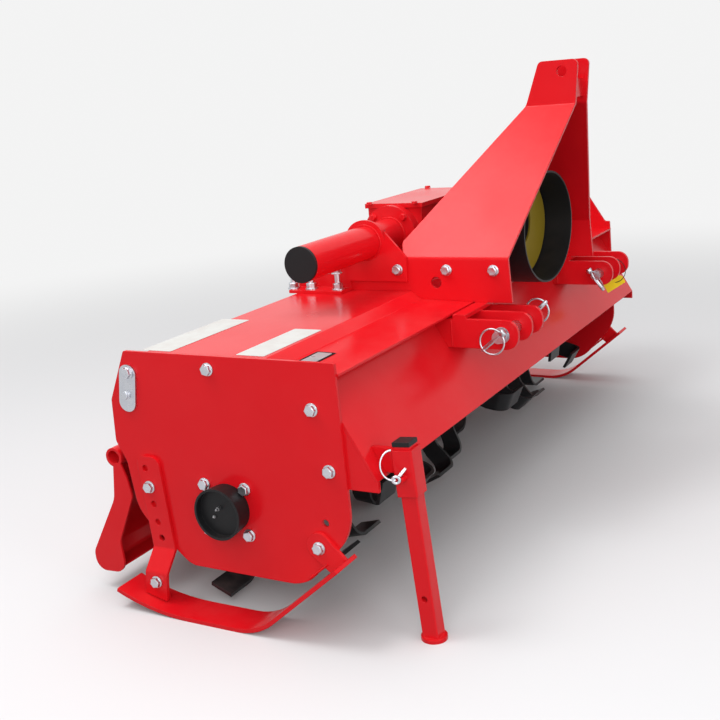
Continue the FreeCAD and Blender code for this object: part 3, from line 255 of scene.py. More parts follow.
def buildMaterial(name, look):
    # one shader with drift in tone, dust, worn edges and a fine grain, each by the look's own values
    material = bpy.data.materials.new(name)
    material.use_nodes = True
    tree = material.node_tree
    shader = tree.nodes["Principled BSDF"]
    link = tree.links.new
    grain = addNode(tree, "ShaderNodeGroup", (-900, -200), node_tree=surfaceGrain)
    grain.inputs["Fine"].default_value = look["fineGrain"]
    grain.inputs["Broad"].default_value = look["broadDrift"]
    edges = addNode(tree, "ShaderNodeGroup", (-900, -420), node_tree=edgeWear)
    edges.inputs["Radius"].default_value = look["edgeRadius"]
    edges.inputs["Patchiness"].default_value = look["wearPatches"]
    dust = addNode(tree, "ShaderNodeGroup", (-900, 60), node_tree=dustFilm)
    dust.inputs["Amount"].default_value = look["dust"]
    dust.inputs["Patches"].default_value = look["dustPatches"]
    tone = mixColor(tree, (-600, 200), grain.outputs["Drift"], look["colorA"], look["colorB"])
    dusty = mixColor(tree, (-400, 200), dust.outputs["Mask"], tone, look["dustColor"])
    worn = addNode(tree, "ShaderNodeMath", (-600, -420), operation="MULTIPLY")
    worn.inputs[1].default_value = look["wear"]
    link(edges.outputs["Mask"], worn.inputs[0])
    color = mixColor(tree, (-200, 200), worn.outputs["Value"], dusty, look["wornColor"])
    gloss = addNode(tree, "ShaderNodeMapRange", (-600, 0))
    gloss.inputs["From Min"].default_value = 0.3
    gloss.inputs["From Max"].default_value = 0.7
    gloss.inputs["To Min"].default_value = look["roughLow"]
    gloss.inputs["To Max"].default_value = look["roughHigh"]
    link(grain.outputs["Drift"], gloss.inputs["Value"])
    dull = addNode(tree, "ShaderNodeMath", (-400, 0), operation="ADD")
    dull.use_clamp = True
    link(gloss.outputs["Result"], dull.inputs[0])
    link(dust.outputs["Mask"], dull.inputs[1])
    bump = addNode(tree, "ShaderNodeBump", (-400, -300))
    bump.inputs["Strength"].default_value = look["bump"]
    bump.inputs["Distance"].default_value = look["bumpDepth"]
    link(grain.outputs["Height"], bump.inputs["Height"])
    link(edges.outputs["Normal"], bump.inputs["Normal"])
    link(color, shader.inputs["Base Color"])
    link(dull.outputs["Value"], shader.inputs["Roughness"])
    link(bump.outputs["Normal"], shader.inputs["Normal"])
    shader.inputs["Metallic"].default_value = look["metallic"]
    shader.inputs["Specular IOR Level"].default_value = look["specular"]
    shader.inputs["Coat Weight"].default_value = look["coat"]
    shader.inputs["Coat Roughness"].default_value = look["coatRough"]
    return material


def lookFrom(base, **changes):
    look = dict(base)
    look.update(changes)
    return look


glossRed = {
    "colorA": (0.72, 0.008, 0.014), "colorB": (0.64, 0.006, 0.011),
    "broadDrift": 5.0, "fineGrain": 240.0, "bump": 0.06, "bumpDepth": 0.0005,
    "roughLow": 0.17, "roughHigh": 0.26, "specular": 0.16, "coat": 0.0, "coatRough": 0.1, "metallic": 0.0,
    "dust": 0.06, "dustPatches": 7.0, "dustColor": (0.45, 0.30, 0.27),
    "edgeRadius": 0.002, "wear": 0.10, "wearPatches": 45.0, "wornColor": (0.34, 0.05, 0.04),
}
brightZinc = {
    "colorA": (0.62, 0.63, 0.66), "colorB": (0.46, 0.48, 0.53),
    "broadDrift": 60.0, "fineGrain": 900.0, "bump": 0.08, "bumpDepth": 0.0003,
    "roughLow": 0.22, "roughHigh": 0.38, "specular": 0.5, "coat": 0.0, "coatRough": 0.1, "metallic": 1.0,
    "dust": 0.12, "dustPatches": 40.0, "dustColor": (0.35, 0.33, 0.30),
    "edgeRadius": 0.0008, "wear": 0.3, "wearPatches": 120.0, "wornColor": (0.75, 0.76, 0.78),
}
blackTool = lookFrom(
    glossRed, colorA=(0.020, 0.020, 0.022), colorB=(0.012, 0.012, 0.013), roughLow=0.34, roughHigh=0.5,
    coat=0.2, coatRough=0.3, wear=0.25, wornColor=(0.12, 0.11, 0.10), dust=0.25, fineGrain=420.0, bump=0.12,
    edgeRadius=0.0015,
)
blackPlastic = lookFrom(
    blackTool, colorA=(0.011, 0.011, 0.012), colorB=(0.007, 0.007, 0.008), roughLow=0.42, roughHigh=0.55,
    coat=0.0, specular=0.22, fineGrain=1400.0, bump=0.15, bumpDepth=0.0003, wear=0.05,
    wornColor=(0.05, 0.05, 0.05), dust=0.05,
)
# the yellow disc's colour is darkened by about half as painted shade, for the shade it lies in deep inside
# the guard
yellowPlasticPaintedShade = lookFrom(
    blackPlastic, colorA=(0.26, 0.18, 0.010), colorB=(0.22, 0.15, 0.008), roughLow=0.38, roughHigh=0.5,
    wornColor=(0.7, 0.6, 0.2), dust=0.2,
)
bareSteel = lookFrom(
    brightZinc, colorA=(0.34, 0.34, 0.35), colorB=(0.22, 0.22, 0.23), roughLow=0.3, roughHigh=0.48,
    wornColor=(0.5, 0.5, 0.5), dust=0.2,
)
whiteVinyl = lookFrom(
    glossRed, colorA=(0.63, 0.63, 0.61), colorB=(0.58, 0.58, 0.56), broadDrift=20.0, roughLow=0.42,
    roughHigh=0.55, specular=0.0, wear=0.15, wornColor=(0.55, 0.35, 0.33), dust=0.25, dustPatches=20.0,
    edgeRadius=0.0004,
)
blackVinyl = lookFrom(
    whiteVinyl, colorA=(0.020, 0.020, 0.022), colorB=(0.012, 0.012, 0.014), wornColor=(0.1, 0.1, 0.1),
    dust=0.1,
)
silverVinyl = lookFrom(
    whiteVinyl, colorA=(0.62, 0.63, 0.65), colorB=(0.50, 0.51, 0.53), metallic=0.7, roughLow=0.25,
    roughHigh=0.36,
)
yellowPaper = lookFrom(
    whiteVinyl, colorA=(0.95, 0.74, 0.03), colorB=(0.88, 0.67, 0.025), roughLow=0.45, roughHigh=0.6,
)
materials = {
    "red_paint": buildMaterial("glossRedPaint", glossRed),
    "zinc_steel": buildMaterial("brightZincPlate", brightZinc),
    "bare_steel": buildMaterial("oiledSteel", bareSteel),
    "black_metal": buildMaterial("blackToolPaint", blackTool),
    # the yellow slot gets the disc colour darkened as painted shade
    "black_plastic": buildMaterial("mouldedBlack", blackPlastic),
    "yellow_plastic": buildMaterial("mouldedYellowPaintedShade", yellowPlasticPaintedShade),
}
whiteFilm = buildMaterial("whiteVinyl", whiteVinyl)
blackFilm = buildMaterial("blackVinyl", blackVinyl)
silverFilm = buildMaterial("silverVinyl", silverVinyl)
yellowCard = buildMaterial("yellowCard", yellowPaper)
for entry in frame["record"]["subparts"]:
    node = nodes[entry["node"]]
    node.material_slots[0].link = "OBJECT"
    node.material_slots[0].material = materials[entry["material_slot"]]
print("materials on the CAD pieces")

# bolts, modelled once for each size and copied
plateBolt = {"across": 21, "height": 8, "flange": 14, "flangeThick": 2.6}
smallBolt = {"across": 15, "height": 6, "flange": 10, "flangeThick": 2}
studNut = {"across": 23, "height": 12, "flange": 16, "flangeThick": 3}
coverBolt = {"across": 14, "height": 4, "flange": 9, "flangeThick": 1}
hoeNut = {"across": 17, "height": 10, "flange": 11, "flangeThick": 2}
boltShape = {
    "chamfer": 0.16, "crown": 0.14, "face": 0.3, "dish": -0.05, "studRise": 0.03, "washerStep": 0.4,
    "washerRise": 0.25, "shank": 0.31, "shankStep": 0.0015, "shankRise": 0.0012,
}


def makeBolt(name, size, stud=0):
    radius = size["across"] / 2 / math.cos(math.radians(30)) * mm
    height, base = size["height"] * mm, size["flangeThick"] * mm
    deselect()
    bpy.ops.mesh.primitive_cylinder_add(
        vertices=6, radius=radius, depth=height, location=(0, 0, base + height / 2),
    )
    head = settle(bpy.context.active_object)
    pickFaces(head, (0, 0, 1))
    bpy.ops.mesh.inset(thickness=radius * boltShape["chamfer"], depth=0)
    bpy.ops.transform.translate(value=(0, 0, height * boltShape["crown"]))
    bpy.ops.mesh.inset(thickness=radius * boltShape["face"], depth=0)
    bpy.ops.transform.translate(value=(0, 0, height * boltShape["studRise" if stud else "dish"]))
    closeEdit(head)
    bpy.ops.mesh.primitive_cylinder_add(
        vertices=24, radius=size["flange"] * mm, depth=base, location=(0, 0, base / 2),
    )
    washer = settle(bpy.context.active_object)
    pickFaces(washer, (0, 0, 1))
    bpy.ops.mesh.inset(thickness=base * boltShape["washerStep"], depth=0)
    bpy.ops.transform.translate(value=(0, 0, base * boltShape["washerRise"]))
    closeEdit(washer)
    parts = [head, washer]
    if stud:
        bpy.ops.mesh.primitive_cylinder_add(
            vertices=16, radius=size["across"] * boltShape["shank"] * mm, depth=stud * mm,
            location=(0, 0, stud * mm / 2),
        )
        shank = settle(bpy.context.active_object)
        pickFaces(shank, (0, 0, 1))
        bpy.ops.mesh.inset(thickness=boltShape["shankStep"], depth=0)
        bpy.ops.transform.translate(value=(0, 0, boltShape["shankRise"]))
        closeEdit(shank)
        parts.append(shank)
    return joinPieces(parts, name)


def boltRow(name, master, spots, direction, turn=17, slotName="zinc_steel"):
    copies = []
    for index, spot in enumerate(spots):
        copies.append(copyTo(master, at(*spot), direction, turn * (index + 1)))
    dressPiece(joinPieces(copies, name), materials[slotName], "frame")


bigBolt = makeBolt("bigBolt", plateBolt)
littleBolt = makeBolt("littleBolt", smallBolt)
tallNut = makeBolt("tallNut", studNut, 46)
lowNut = makeBolt("lowNut", studNut, 26)
bladeNut = makeBolt("bladeNut", hoeNut, 16)
coverScrew = makeBolt("coverScrew", coverBolt)

# places forward and up from the datum, and the outer faces that the bolts stand on
plateSpots = [(13, 317), (255.5, 249), (283, 124)]
leftPlateSpots = [(257, 250), (285, 125), (232, 400)]
bearing = {"centre": (21, 11), "half": 51.5}
skidSpots = {"front": (247, -41), "bar": (-177.5, 42), "foot": (-167, -169)}
linkSpots = {"bolt": (-198, 299), "rivet": (-210, 248)}
faces = {
    "Right": {"side": 1, "plate": 986, "skid": 994, "foot": 1024, "link": 991},
    "Left": {"side": -1, "plate": -850, "skid": -928, "foot": -958, "link": -855},
}
mastFeet = {"plate": 322, "doubler": 330, "front": (374, 399), "middle": (252, 399), "rear": (123, 400)}
bracketFoot = {"across": 358, "rise": 353, "stud": -37, "studHead": 394, "nuts": (-170, -116)}
boxFlange = {"face": 195, "centre": (36, 468), "radius": 62, "bolts": 4, "firstBolt": 45}
boxCover = {"across": (-179, 179), "along": (-26, 106), "rise": 545}

hubSpots = []
for y in (-bearing["half"], bearing["half"]):
    for z in (-bearing["half"], bearing["half"]):
        hubSpots.append((bearing["centre"][0] + y, bearing["centre"][1] + z))
plateRows = {"Right": plateSpots + hubSpots, "Left": leftPlateSpots}
for name, face in faces.items():
    out = (face["side"], 0, 0)
    boltRow("plateBolts" + name, bigBolt, [(face["plate"], y, z) for y, z in plateRows[name]], out)
    skidRow = [(face["skid"], *skidSpots[key]) for key in ("front", "bar")]
    boltRow("skidBolts" + name, bigBolt, skidRow, out)
    boltRow("footBolt" + name, bigBolt, [(face["foot"], *skidSpots["foot"])], out, turn=40)
    boltRow("linkBolt" + name, bigBolt, [(face["link"], *linkSpots["bolt"])], out)
    boltRow("linkRivet" + name, littleBolt, [(face["link"], *linkSpots["rivet"])], out, turn=9)

for name, face in faces.items():
    side = face["side"]
    feet = [(side * mastFeet["plate"], *mastFeet[key]) for key in ("middle", "front")]
    feet.append((side * mastFeet["doubler"], *mastFeet["rear"]))
    boltRow("mastBolts" + name, bigBolt, feet, (side, 0, 0))
    across, rise = side * bracketFoot["across"], bracketFoot["rise"]
    boltRow("deckStuds" + name, tallNut, [(across, bracketFoot["stud"], rise)], (0, 0, 1))
    studHead = (across, bracketFoot["stud"], bracketFoot["studHead"])
    boltRow("deckStudHeads" + name, bigBolt, [studHead], (0, 0, 1))
    boltRow("deckNuts" + name, lowNut, [(across, y, rise) for y in bracketFoot["nuts"]], (0, 0, 1))
    flange = []
    for i in range(boxFlange["bolts"]):
        angle = math.radians(360 / boxFlange["bolts"] * i + boxFlange["firstBolt"])
        y = boxFlange["centre"][0] + boxFlange["radius"] * math.cos(angle)
        z = boxFlange["centre"][1] + boxFlange["radius"] * math.sin(angle)
        flange.append((side * boxFlange["face"], y, z))
    boltRow("boxFlangeBolts" + name, littleBolt, flange, (side, 0, 0), slotName="red_paint")
cover = [(x, y, boxCover["rise"]) for x in boxCover["across"] for y in boxCover["along"]]
boltRow("boxCoverBolts", coverScrew, cover, (0, 0, 1), slotName="red_paint")
print("frame bolts")

# bolts round the gear case follow its outline
gearCase = {
    "face": -910, "top": (36, 468, 66), "low": (25, 16, 78), "arcStep": 45,
    "flankShares": (0.2, 0.4, 0.6, 0.8),
}


def caseSpots():
    (topY, topZ, topRadius), (lowY, lowZ, lowRadius) = gearCase["top"], gearCase["low"]
    spots = []
    for degrees in range(0, 181, gearCase["arcStep"]):
        angle = math.radians(degrees)
        spots.append((topY + topRadius * math.cos(angle), topZ + topRadius * math.sin(angle)))
        spots.append((lowY + lowRadius * math.cos(angle), lowZ - lowRadius * math.sin(angle)))
    for share in gearCase["flankShares"]:
        for side in (1, -1):
            y = topY + side * topRadius + (lowY - topY + side * (lowRadius - topRadius)) * share
            spots.append((y, topZ + (lowZ - topZ) * share))
    return [(gearCase["face"], y, z) for y, z in spots]


boltRow("gearCaseBolts", littleBolt, caseSpots(), (-1, 0, 0))
print("gear case bolts")

# two nuts hold each hoe on its disc
hoeNuts = {
    "axis": (25, 16), "firstDisc": -720, "lastDisc": 856, "discs": 8, "twist": 22.5, "hoes": 3, "face": 12,
    "rise": 74, "apart": 13, "nutTurn": 20,
}


def hoeNutRow():
    copies = []
    pitch = (hoeNuts["lastDisc"] - hoeNuts["firstDisc"]) / (hoeNuts["discs"] - 1)
    for disc in range(hoeNuts["discs"]):
        x = hoeNuts["firstDisc"] + pitch * disc
        for side in (1, -1):
            for hoe in range(hoeNuts["hoes"]):
                turn = 360 / hoeNuts["hoes"] * (hoe + (0.5 if side < 0 else 0)) + hoeNuts["twist"] * disc
                angle = math.radians(turn)
                for across in (-hoeNuts["apart"], hoeNuts["apart"]):
                    y = across * math.cos(angle) - hoeNuts["rise"] * math.sin(angle)
                    z = across * math.sin(angle) + hoeNuts["rise"] * math.cos(angle)
                    spot = at(x + side * hoeNuts["face"], hoeNuts["axis"][0] + y, hoeNuts["axis"][1] + z)
                    copies.append(copyTo(bladeNut, spot, (side, 0, 0), hoeNuts["nutTurn"] * hoe + across))
    dressPiece(joinPieces(copies, "hoeNuts"), materials["black_metal"], "rotor")


hoeNutRow()
for master in (bigBolt, littleBolt, tallNut, lowNut, bladeNut, coverScrew):
    bpy.data.objects.remove(master)
print("hoe nuts")

# welds are thin beads with a ripple
weldBead = {"ripple": 0.0007, "noise": 0.005, "pitch": 0.0035, "ringSteps": 1.6}
weldRipple = bpy.data.textures.new("weldRipple", "CLOUDS")
weldRipple.noise_scale = weldBead["noise"]
weldRipple.noise_depth = 1


def rippled(bead, beadRadius):
    modifier = bead.modifiers.new("ripple", "DISPLACE")
    modifier.texture = weldRipple
    modifier.strength = beadRadius * weldBead["ripple"]
    modifier.mid_level = 0.5
    deselect()
    bead.select_set(True)
    bpy.context.view_layer.objects.active = bead
    bpy.ops.object.modifier_apply(modifier=modifier.name)
    bpy.ops.object.shade_smooth()
    return bead


def weldRing(centre, axis, ringRadius, beadRadius):
    deselect()
    turn = Vector(axis).to_track_quat("Z", "Y").to_euler()
    bpy.ops.mesh.primitive_torus_add(
        major_segments=int(ringRadius * weldBead["ringSteps"]), minor_segments=6,
        major_radius=ringRadius * mm, minor_radius=beadRadius * mm, location=at(*centre), rotation=turn,
    )
    return rippled(settle(bpy.context.active_object), beadRadius)


def weldLine(start, end, beadRadius):
    first, last = at(*start), at(*end)
    run = last - first
    deselect()
    bpy.ops.mesh.primitive_cylinder_add(
        vertices=6, radius=beadRadius * mm, depth=run.length, location=(first + last) / 2,
        rotation=run.to_track_quat("Z", "Y").to_euler(),
    )
    bead = bpy.context.active_object
    bpy.context.tool_settings.mesh_select_mode = (False, True, False)
    mesh = bead.data
    for face in mesh.polygons:
        face.select = False
    for edge in mesh.edges:
        low, high = (mesh.vertices[i].co for i in edge.vertices)
        edge.select = abs(low.z - high.z) > run.length * 0.5
    for vertex in mesh.vertices:
        vertex.select = False
    bpy.ops.object.mode_set(mode="EDIT")
    bpy.ops.mesh.subdivide(number_cuts=max(2, int(run.length / weldBead["pitch"])))
    bpy.ops.object.mode_set(mode="OBJECT")
    return rippled(settle(bead), beadRadius)


def weldSet(name, beads):
    dressPiece(joinPieces(beads, name), materials["red_paint"], "frame")


# the tube's rings, the hitch plates' seams at both faces, the skids' tabs and the leg's sleeve
tubeRings = {"centre": (36, 468), "radius": 43.5, "rings": [(330, 2.6), (322, 2.6), (196, 3)]}
hitchSeams = {"faces": (297, 287, 369, 359, 458, 448), "y": 319, "z": (245, 309), "bead": 2.4}
skidSeams = {"faces": (986, 994, -920, -928), "start": (216, -113), "end": (263, -74), "bead": 2.6}
sleeveSeams = {"faces": (925.5, 938.5), "start": (407.5, 118), "end": (403.5, 164), "bead": 2.2}

tubeWelds, hitchWelds = [], []
for side in (1, -1):
    for x, beadRadius in tubeRings["rings"]:
        centre = (side * x, *tubeRings["centre"])
        tubeWelds.append(weldRing(centre, (1, 0, 0), tubeRings["radius"], beadRadius))
weldSet("tubeWelds", tubeWelds)
for side in (1, -1):
    for x in hitchSeams["faces"]:
        low, high = ((side * x, hitchSeams["y"], z) for z in hitchSeams["z"])
        hitchWelds.append(weldLine(low, high, hitchSeams["bead"]))
weldSet("hitchWelds", hitchWelds)
for name, seams in (("skidWelds", skidSeams), ("sleeveWelds", sleeveSeams)):
    weldSet(name, [weldLine((x, *seams["start"]), (x, *seams["end"]), seams["bead"]) for x in seams["faces"]])
print("welds")

# linch pins: a shank with a wide head and a spring ring round both its ends
linchPin = {
    "ring": 29.5, "wire": 2.2, "shank": 5, "tip": -46, "head": 14, "headWidth": 8, "neck": 0.5,
    "flare": 1.12, "cap": 0.9, "round": 0.35, "point": 0.8, "taper": 0.55, "ringPlace": (0.002, 0, 0.003),
}


def makeLinchPin(name, size):
    ring, wire, shank = size["ring"] * mm, size["wire"] * mm, size["shank"] * mm
    tip, head, wide = size["tip"] * mm, size["head"] * mm, size["headWidth"] * mm
    deselect()
    bpy.ops.mesh.primitive_cylinder_add(
        vertices=18, radius=shank, depth=head - tip, location=((head + tip) / 2, 0, 0),
        rotation=(0, math.radians(90), 0),
    )
    pin = settle(bpy.context.active_object)
    pickFaces(pin, (1, 0, 0))
    bpy.ops.mesh.inset(thickness=0.0002, depth=0)
    bpy.ops.transform.resize(value=(1, wide / shank, wide / shank))
    bpy.ops.mesh.extrude_region_move(TRANSFORM_OT_translate={"value": (wide * size["neck"], 0, 0)})
    bpy.ops.transform.resize(value=(1, size["flare"], size["flare"]))
    bpy.ops.mesh.extrude_region_move(TRANSFORM_OT_translate={"value": (wide * size["cap"], 0, 0)})
    bpy.ops.mesh.bevel(offset=wide * size["round"], segments=3, affect="EDGES")
    pickFaces(pin, (-1, 0, 0))
    bpy.ops.mesh.extrude_region_move(TRANSFORM_OT_translate={"value": (-shank * size["point"], 0, 0)})
    bpy.ops.transform.resize(value=(1, size["taper"], size["taper"]))
    closeEdit(pin)
    shiftX, shiftY, shiftZ = size["ringPlace"]
    bpy.ops.mesh.primitive_torus_add(
        major_segments=48, minor_segments=10, major_radius=ring, minor_radius=wire,
        location=((head + tip) / 2 + shiftX, shiftY, shiftZ),
    )
    loop = closeEdit(settle(bpy.context.active_object), 60)
    return joinPieces([pin, loop], name)


def placeLinch(master, point, along, normal):
    # the shank lies along one direction and the ring's plane is square to the other
    xAxis = Vector(along).normalized()
    zAxis = (Vector(normal) - xAxis * Vector(normal).dot(xAxis)).normalized()
    yAxis = zAxis.cross(xAxis)
    return placeCopy(master, Matrix.Translation(point) @ Matrix((xAxis, yAxis, zAxis)).transposed().to_4x4())


# one in each end of the two hitch pins, each turned its own way
linchSpots = [
    {"point": (481, 440, 276), "along": (0, 0.775, 0.632), "normal": (1, -0.08, 0)},
    {"point": (257, 444, 279), "along": (0, -0.72, -0.69), "normal": (-1, 0.05, 0)},
    {"point": (-257, 436, 274), "along": (0.08, -0.56, 0.83), "normal": (-0.156, 0.823, 0.586)},
    {"point": (-481, 442, 277), "along": (0, 0.6, 0.8), "normal": (-1, 0.1, 0)},
]
linch = makeLinchPin("linch", linchPin)
hitchRings = [placeLinch(linch, at(*spot["point"]), spot["along"], spot["normal"]) for spot in linchSpots]
dressPiece(joinPieces(hitchRings, "hitchLinchPins"), materials["zinc_steel"], "frame")
bpy.data.objects.remove(linch)

# the leg's pin has an eye and a half ring of wire that ends behind the sleeve
legPin = {
    "eye": (976, 424.5, 118.5), "ringTop": (957, 403, 169), "outward": (0.5, -0.866, 0), "wire": 2.2,
    "sweep": 188, "flatten": 0.82, "eyeRadius": 6.6, "eyeWire": 3.2, "eyeTurn": 25,
    "sleeve": (953, 434, 134), "shank": 3.6,
}


def makeLegPin():
    eye, top, sleeve = (at(*legPin[key]) for key in ("eye", "ringTop", "sleeve"))
    middle, run = (eye + top) / 2, top - eye
    start = Vector(legPin["outward"]).normalized()
    axis = run.cross(start).normalized()
    deselect()
    bpy.ops.mesh.primitive_circle_add(
        vertices=10, radius=legPin["wire"] * mm, fill_type="NGON", location=eye,
        rotation=start.to_track_quat("Z", "Y").to_euler(),
    )
    ring = settle(bpy.context.active_object)
    bpy.ops.object.mode_set(mode="EDIT")
    bpy.ops.mesh.select_all(action="SELECT")
    bpy.ops.mesh.spin(steps=28, angle=math.radians(legPin["sweep"]), center=middle, axis=axis)
    bpy.ops.mesh.select_all(action="SELECT")
    bpy.ops.mesh.remove_doubles(threshold=0.00001)
    bpy.ops.mesh.normals_make_consistent(inside=False)
    closeEdit(ring, 60)
    for vertex in ring.data.vertices:
        vertex.co -= start * (vertex.co - middle).dot(start) * (1 - legPin["flatten"])
    bpy.ops.mesh.primitive_torus_add(
        major_segments=28, minor_segments=10, major_radius=legPin["eyeRadius"] * mm,
        minor_radius=legPin["eyeWire"] * mm, location=eye,
        rotation=(0, math.radians(90), math.radians(legPin["eyeTurn"])),
    )
    loop = closeEdit(settle(bpy.context.active_object), 60)
    reach = sleeve - eye
    first = eye + reach.normalized() * legPin["eyeRadius"] * mm
    bpy.ops.mesh.primitive_cylinder_add(
        vertices=16, radius=legPin["shank"] * mm, depth=(sleeve - first).length,
        location=(first + sleeve) / 2, rotation=reach.to_track_quat("Z", "Y").to_euler(),
    )
    shank = closeEdit(settle(bpy.context.active_object))
    piece = joinPieces([ring, loop, shank], "legPinRing")
    dressPiece(piece, materials["zinc_steel"], "frame")


makeLegPin()
print("linch pins")

# a bent strip under the deck's rear edge closes the slot above the tailboard's hinge
rearLip = {"ends": (-841, 977), "line": [(-259.5, 149), (-252.5, 120), (-246, 110)], "thick": 3, "edge": 0.6}


def makeRearLip():
    low, high = rearLip["ends"]
    top, bend, hem = rearLip["line"]
    deselect()
    bpy.ops.mesh.primitive_plane_add(size=1)
    lip = bpy.context.active_object
    corners = [(low, *top), (high, *top), (low, *bend), (high, *bend)]
    for vertex, corner in zip(lip.data.vertices, corners):
        vertex.co = at(*corner)
    for edge in lip.data.edges:
        edge.select = set(edge.vertices) == {2, 3}
    for vertex in lip.data.vertices:
        vertex.select = vertex.index in (2, 3)
    lip.data.polygons[0].select = False
    bpy.context.tool_settings.mesh_select_mode = (False, True, False)
    bpy.ops.object.mode_set(mode="EDIT")
    bpy.ops.mesh.extrude_region_move(TRANSFORM_OT_translate={"value": at(low, *hem) - at(low, *bend)})
    bpy.ops.mesh.select_all(action="SELECT")
    bpy.ops.mesh.normals_make_consistent(inside=False)
    bpy.ops.object.mode_set(mode="OBJECT")
    thicken = lip.modifiers.new("thicken", "SOLIDIFY")
    thicken.thickness = rearLip["thick"] * mm
    thicken.offset = 0
    soften = lip.modifiers.new("soften", "BEVEL")
    soften.width = rearLip["edge"] * mm
    soften.segments = 2
    for modifier in ("thicken", "soften"):
        bpy.ops.object.modifier_apply(modifier=modifier)
    closeEdit(lip, 40)
    lip.name = lip.data.name = "rearLip"
    dressPiece(lip, materials["red_paint"], "frame")


makeRearLip()
print("rear lip")

# blank stickers: two on the deck, and a small one with an edge on its sloping front strip
stickers = {
    "deckStickerRear": {"x": (678, 971), "y": (-168, -91), "rise": 345, "film": whiteFilm},
    "deckStickerFront": {"x": (740, 967), "y": (73, 142), "rise": 345, "film": whiteFilm},
    "smallStickerEdge": {
        "x": (842, 958), "y": (190, 236), "rise": 325.02, "film": blackFilm, "sloping": True,
    },
    "smallStickerFace": {
        "x": (848, 952), "y": (196, 230), "rise": 325.42, "film": silverFilm, "sloping": True,
    },
}
stickerCut = {"lift": 0.3, "corner": 0.004, "thick": 0.0003, "slope": -4 / 139}


def laySticker(name, size):
    (lowX, highX), (lowY, highY) = size["x"], size["y"]
    deselect()
    bpy.ops.mesh.primitive_plane_add(size=1)
    sticker = bpy.context.active_object
    sticker.name = sticker.data.name = name
    sticker.scale = ((highX - lowX) * mm, (highY - lowY) * mm, 1)
    sticker.location = at((lowX + highX) / 2, (lowY + highY) / 2, size["rise"] + stickerCut["lift"])
    if size.get("sloping"):
        sticker.rotation_euler = (math.atan(stickerCut["slope"]), 0, 0)
    settle(sticker)
    bpy.ops.object.mode_set(mode="EDIT")
    bpy.ops.mesh.select_all(action="SELECT")
    bpy.ops.mesh.bevel(offset=stickerCut["corner"], segments=4, affect="VERTICES")
    bpy.ops.mesh.extrude_region_move(TRANSFORM_OT_translate={"value": (0, 0, stickerCut["thick"])})
    bpy.ops.mesh.select_all(action="SELECT")
    bpy.ops.mesh.normals_make_consistent(inside=False)
    closeEdit(sticker)
    dressPiece(sticker, size["film"], "frame")


for name, size in stickers.items():
    laySticker(name, size)
print("stickers")

# a blank yellow card hangs by a tie below the far hitch
tag = {
    "corners": [
        (-420.6, 415.3, 215.3), (-430.8, 435.4, 231.7), (-434.9, 443.4, 238.6), (-439.0, 454.4, 242.5),
        (-441.5, 467.1, 239.1), (-438.9, 476.4, 221.7), (-417.6, 429.2, 191.9),
    ],
    "facing": (0.93, 0.25, 0.27), "thick": 0.9, "corner": 0.002,
    "tie": {"centre": (-431, 443, 257), "radius": 36, "wire": 1.1},
}


def hangTag():
    deselect()
    corners = [at(*corner) for corner in tag["corners"]]
    middle = sum(corners, Vector()) / len(corners)
    bpy.ops.mesh.primitive_circle_add(
        vertices=len(corners), radius=0.03, fill_type="NGON", location=middle,
    )
    card = settle(bpy.context.active_object)
    for vertex, corner in zip(card.data.vertices, corners):
        vertex.co = corner
    card.name = card.data.name = "yellowTag"
    depth = Vector(tag["facing"]).normalized() * tag["thick"] * mm
    bpy.ops.object.mode_set(mode="EDIT")
    bpy.ops.mesh.select_all(action="SELECT")
    bpy.ops.mesh.bevel(offset=tag["corner"], segments=2, affect="VERTICES")
    bpy.ops.mesh.extrude_region_move(TRANSFORM_OT_translate={"value": depth})
    bpy.ops.mesh.select_all(action="SELECT")
    bpy.ops.mesh.normals_make_consistent(inside=False)
    closeEdit(card)
    dressPiece(card, yellowCard, "frame")
    loop = tag["tie"]
    bpy.ops.mesh.primitive_torus_add(
        major_segments=40, minor_segments=6, major_radius=loop["radius"] * mm,
        minor_radius=loop["wire"] * mm, location=at(*loop["centre"]), rotation=(0, math.radians(90), 0),
    )
    tie = closeEdit(settle(bpy.context.active_object), 60)
    tie.name = tie.data.name = "tagTie"
    dressPiece(tie, materials["black_plastic"], "frame")


hangTag()
print("tag")

# small things: the cap's grease nipple and screw, and the gear case's plug
plugs = {
    "capNipple": {
        "radius": 4.2, "length": 9, "sides": 12, "point": (1014, 24, 26), "out": 1, "slot": "bare_steel",
    },
    "capScrew": {
        "radius": 3.6, "length": 4, "sides": 12, "point": (1014, 8, 5), "out": 1, "slot": "bare_steel",
    },
    "casePlug": {
        "radius": 12, "length": 8, "sides": 6, "point": (-910, 60, 200), "out": -1, "slot": "zinc_steel",
    },
}
plugShape = {"step": 0.3, "neck": 0.5, "chamfer": 0.2}


def makePlug(name, size):
    radius, length = size["radius"] * mm, size["length"] * mm
    deselect()
    bpy.ops.mesh.primitive_cylinder_add(
        vertices=size["sides"], radius=radius, depth=length, location=(0, 0, length / 2),
    )
    plug = settle(bpy.context.active_object)
    pickFaces(plug, (0, 0, 1))
    bpy.ops.mesh.inset(thickness=radius * plugShape["step"], depth=0)
    bpy.ops.mesh.extrude_region_move(TRANSFORM_OT_translate={"value": (0, 0, length * plugShape["neck"])})
    bpy.ops.mesh.inset(thickness=radius * plugShape["chamfer"], depth=0)
    bpy.ops.transform.translate(value=(0, 0, length * plugShape["chamfer"]))
    closeEdit(plug)
    placed = copyTo(plug, at(*size["point"]), (size["out"], 0, 0))
    bpy.data.objects.remove(plug)
    placed.name = placed.data.name = name
    dressPiece(placed, materials[size["slot"]], "frame")


for name, size in plugs.items():
    makePlug(name, size)
print("small parts")

# studio
studio = {
    "backdrop": 0.90, "floorPale": (0.70, 0.70, 0.71), "floorBounce": (0.24, 0.24, 0.25), "skyLight": 0.56,
    "fadeFrom": 1.4, "fadeTo": 5.0, "floorSize": 120,
}


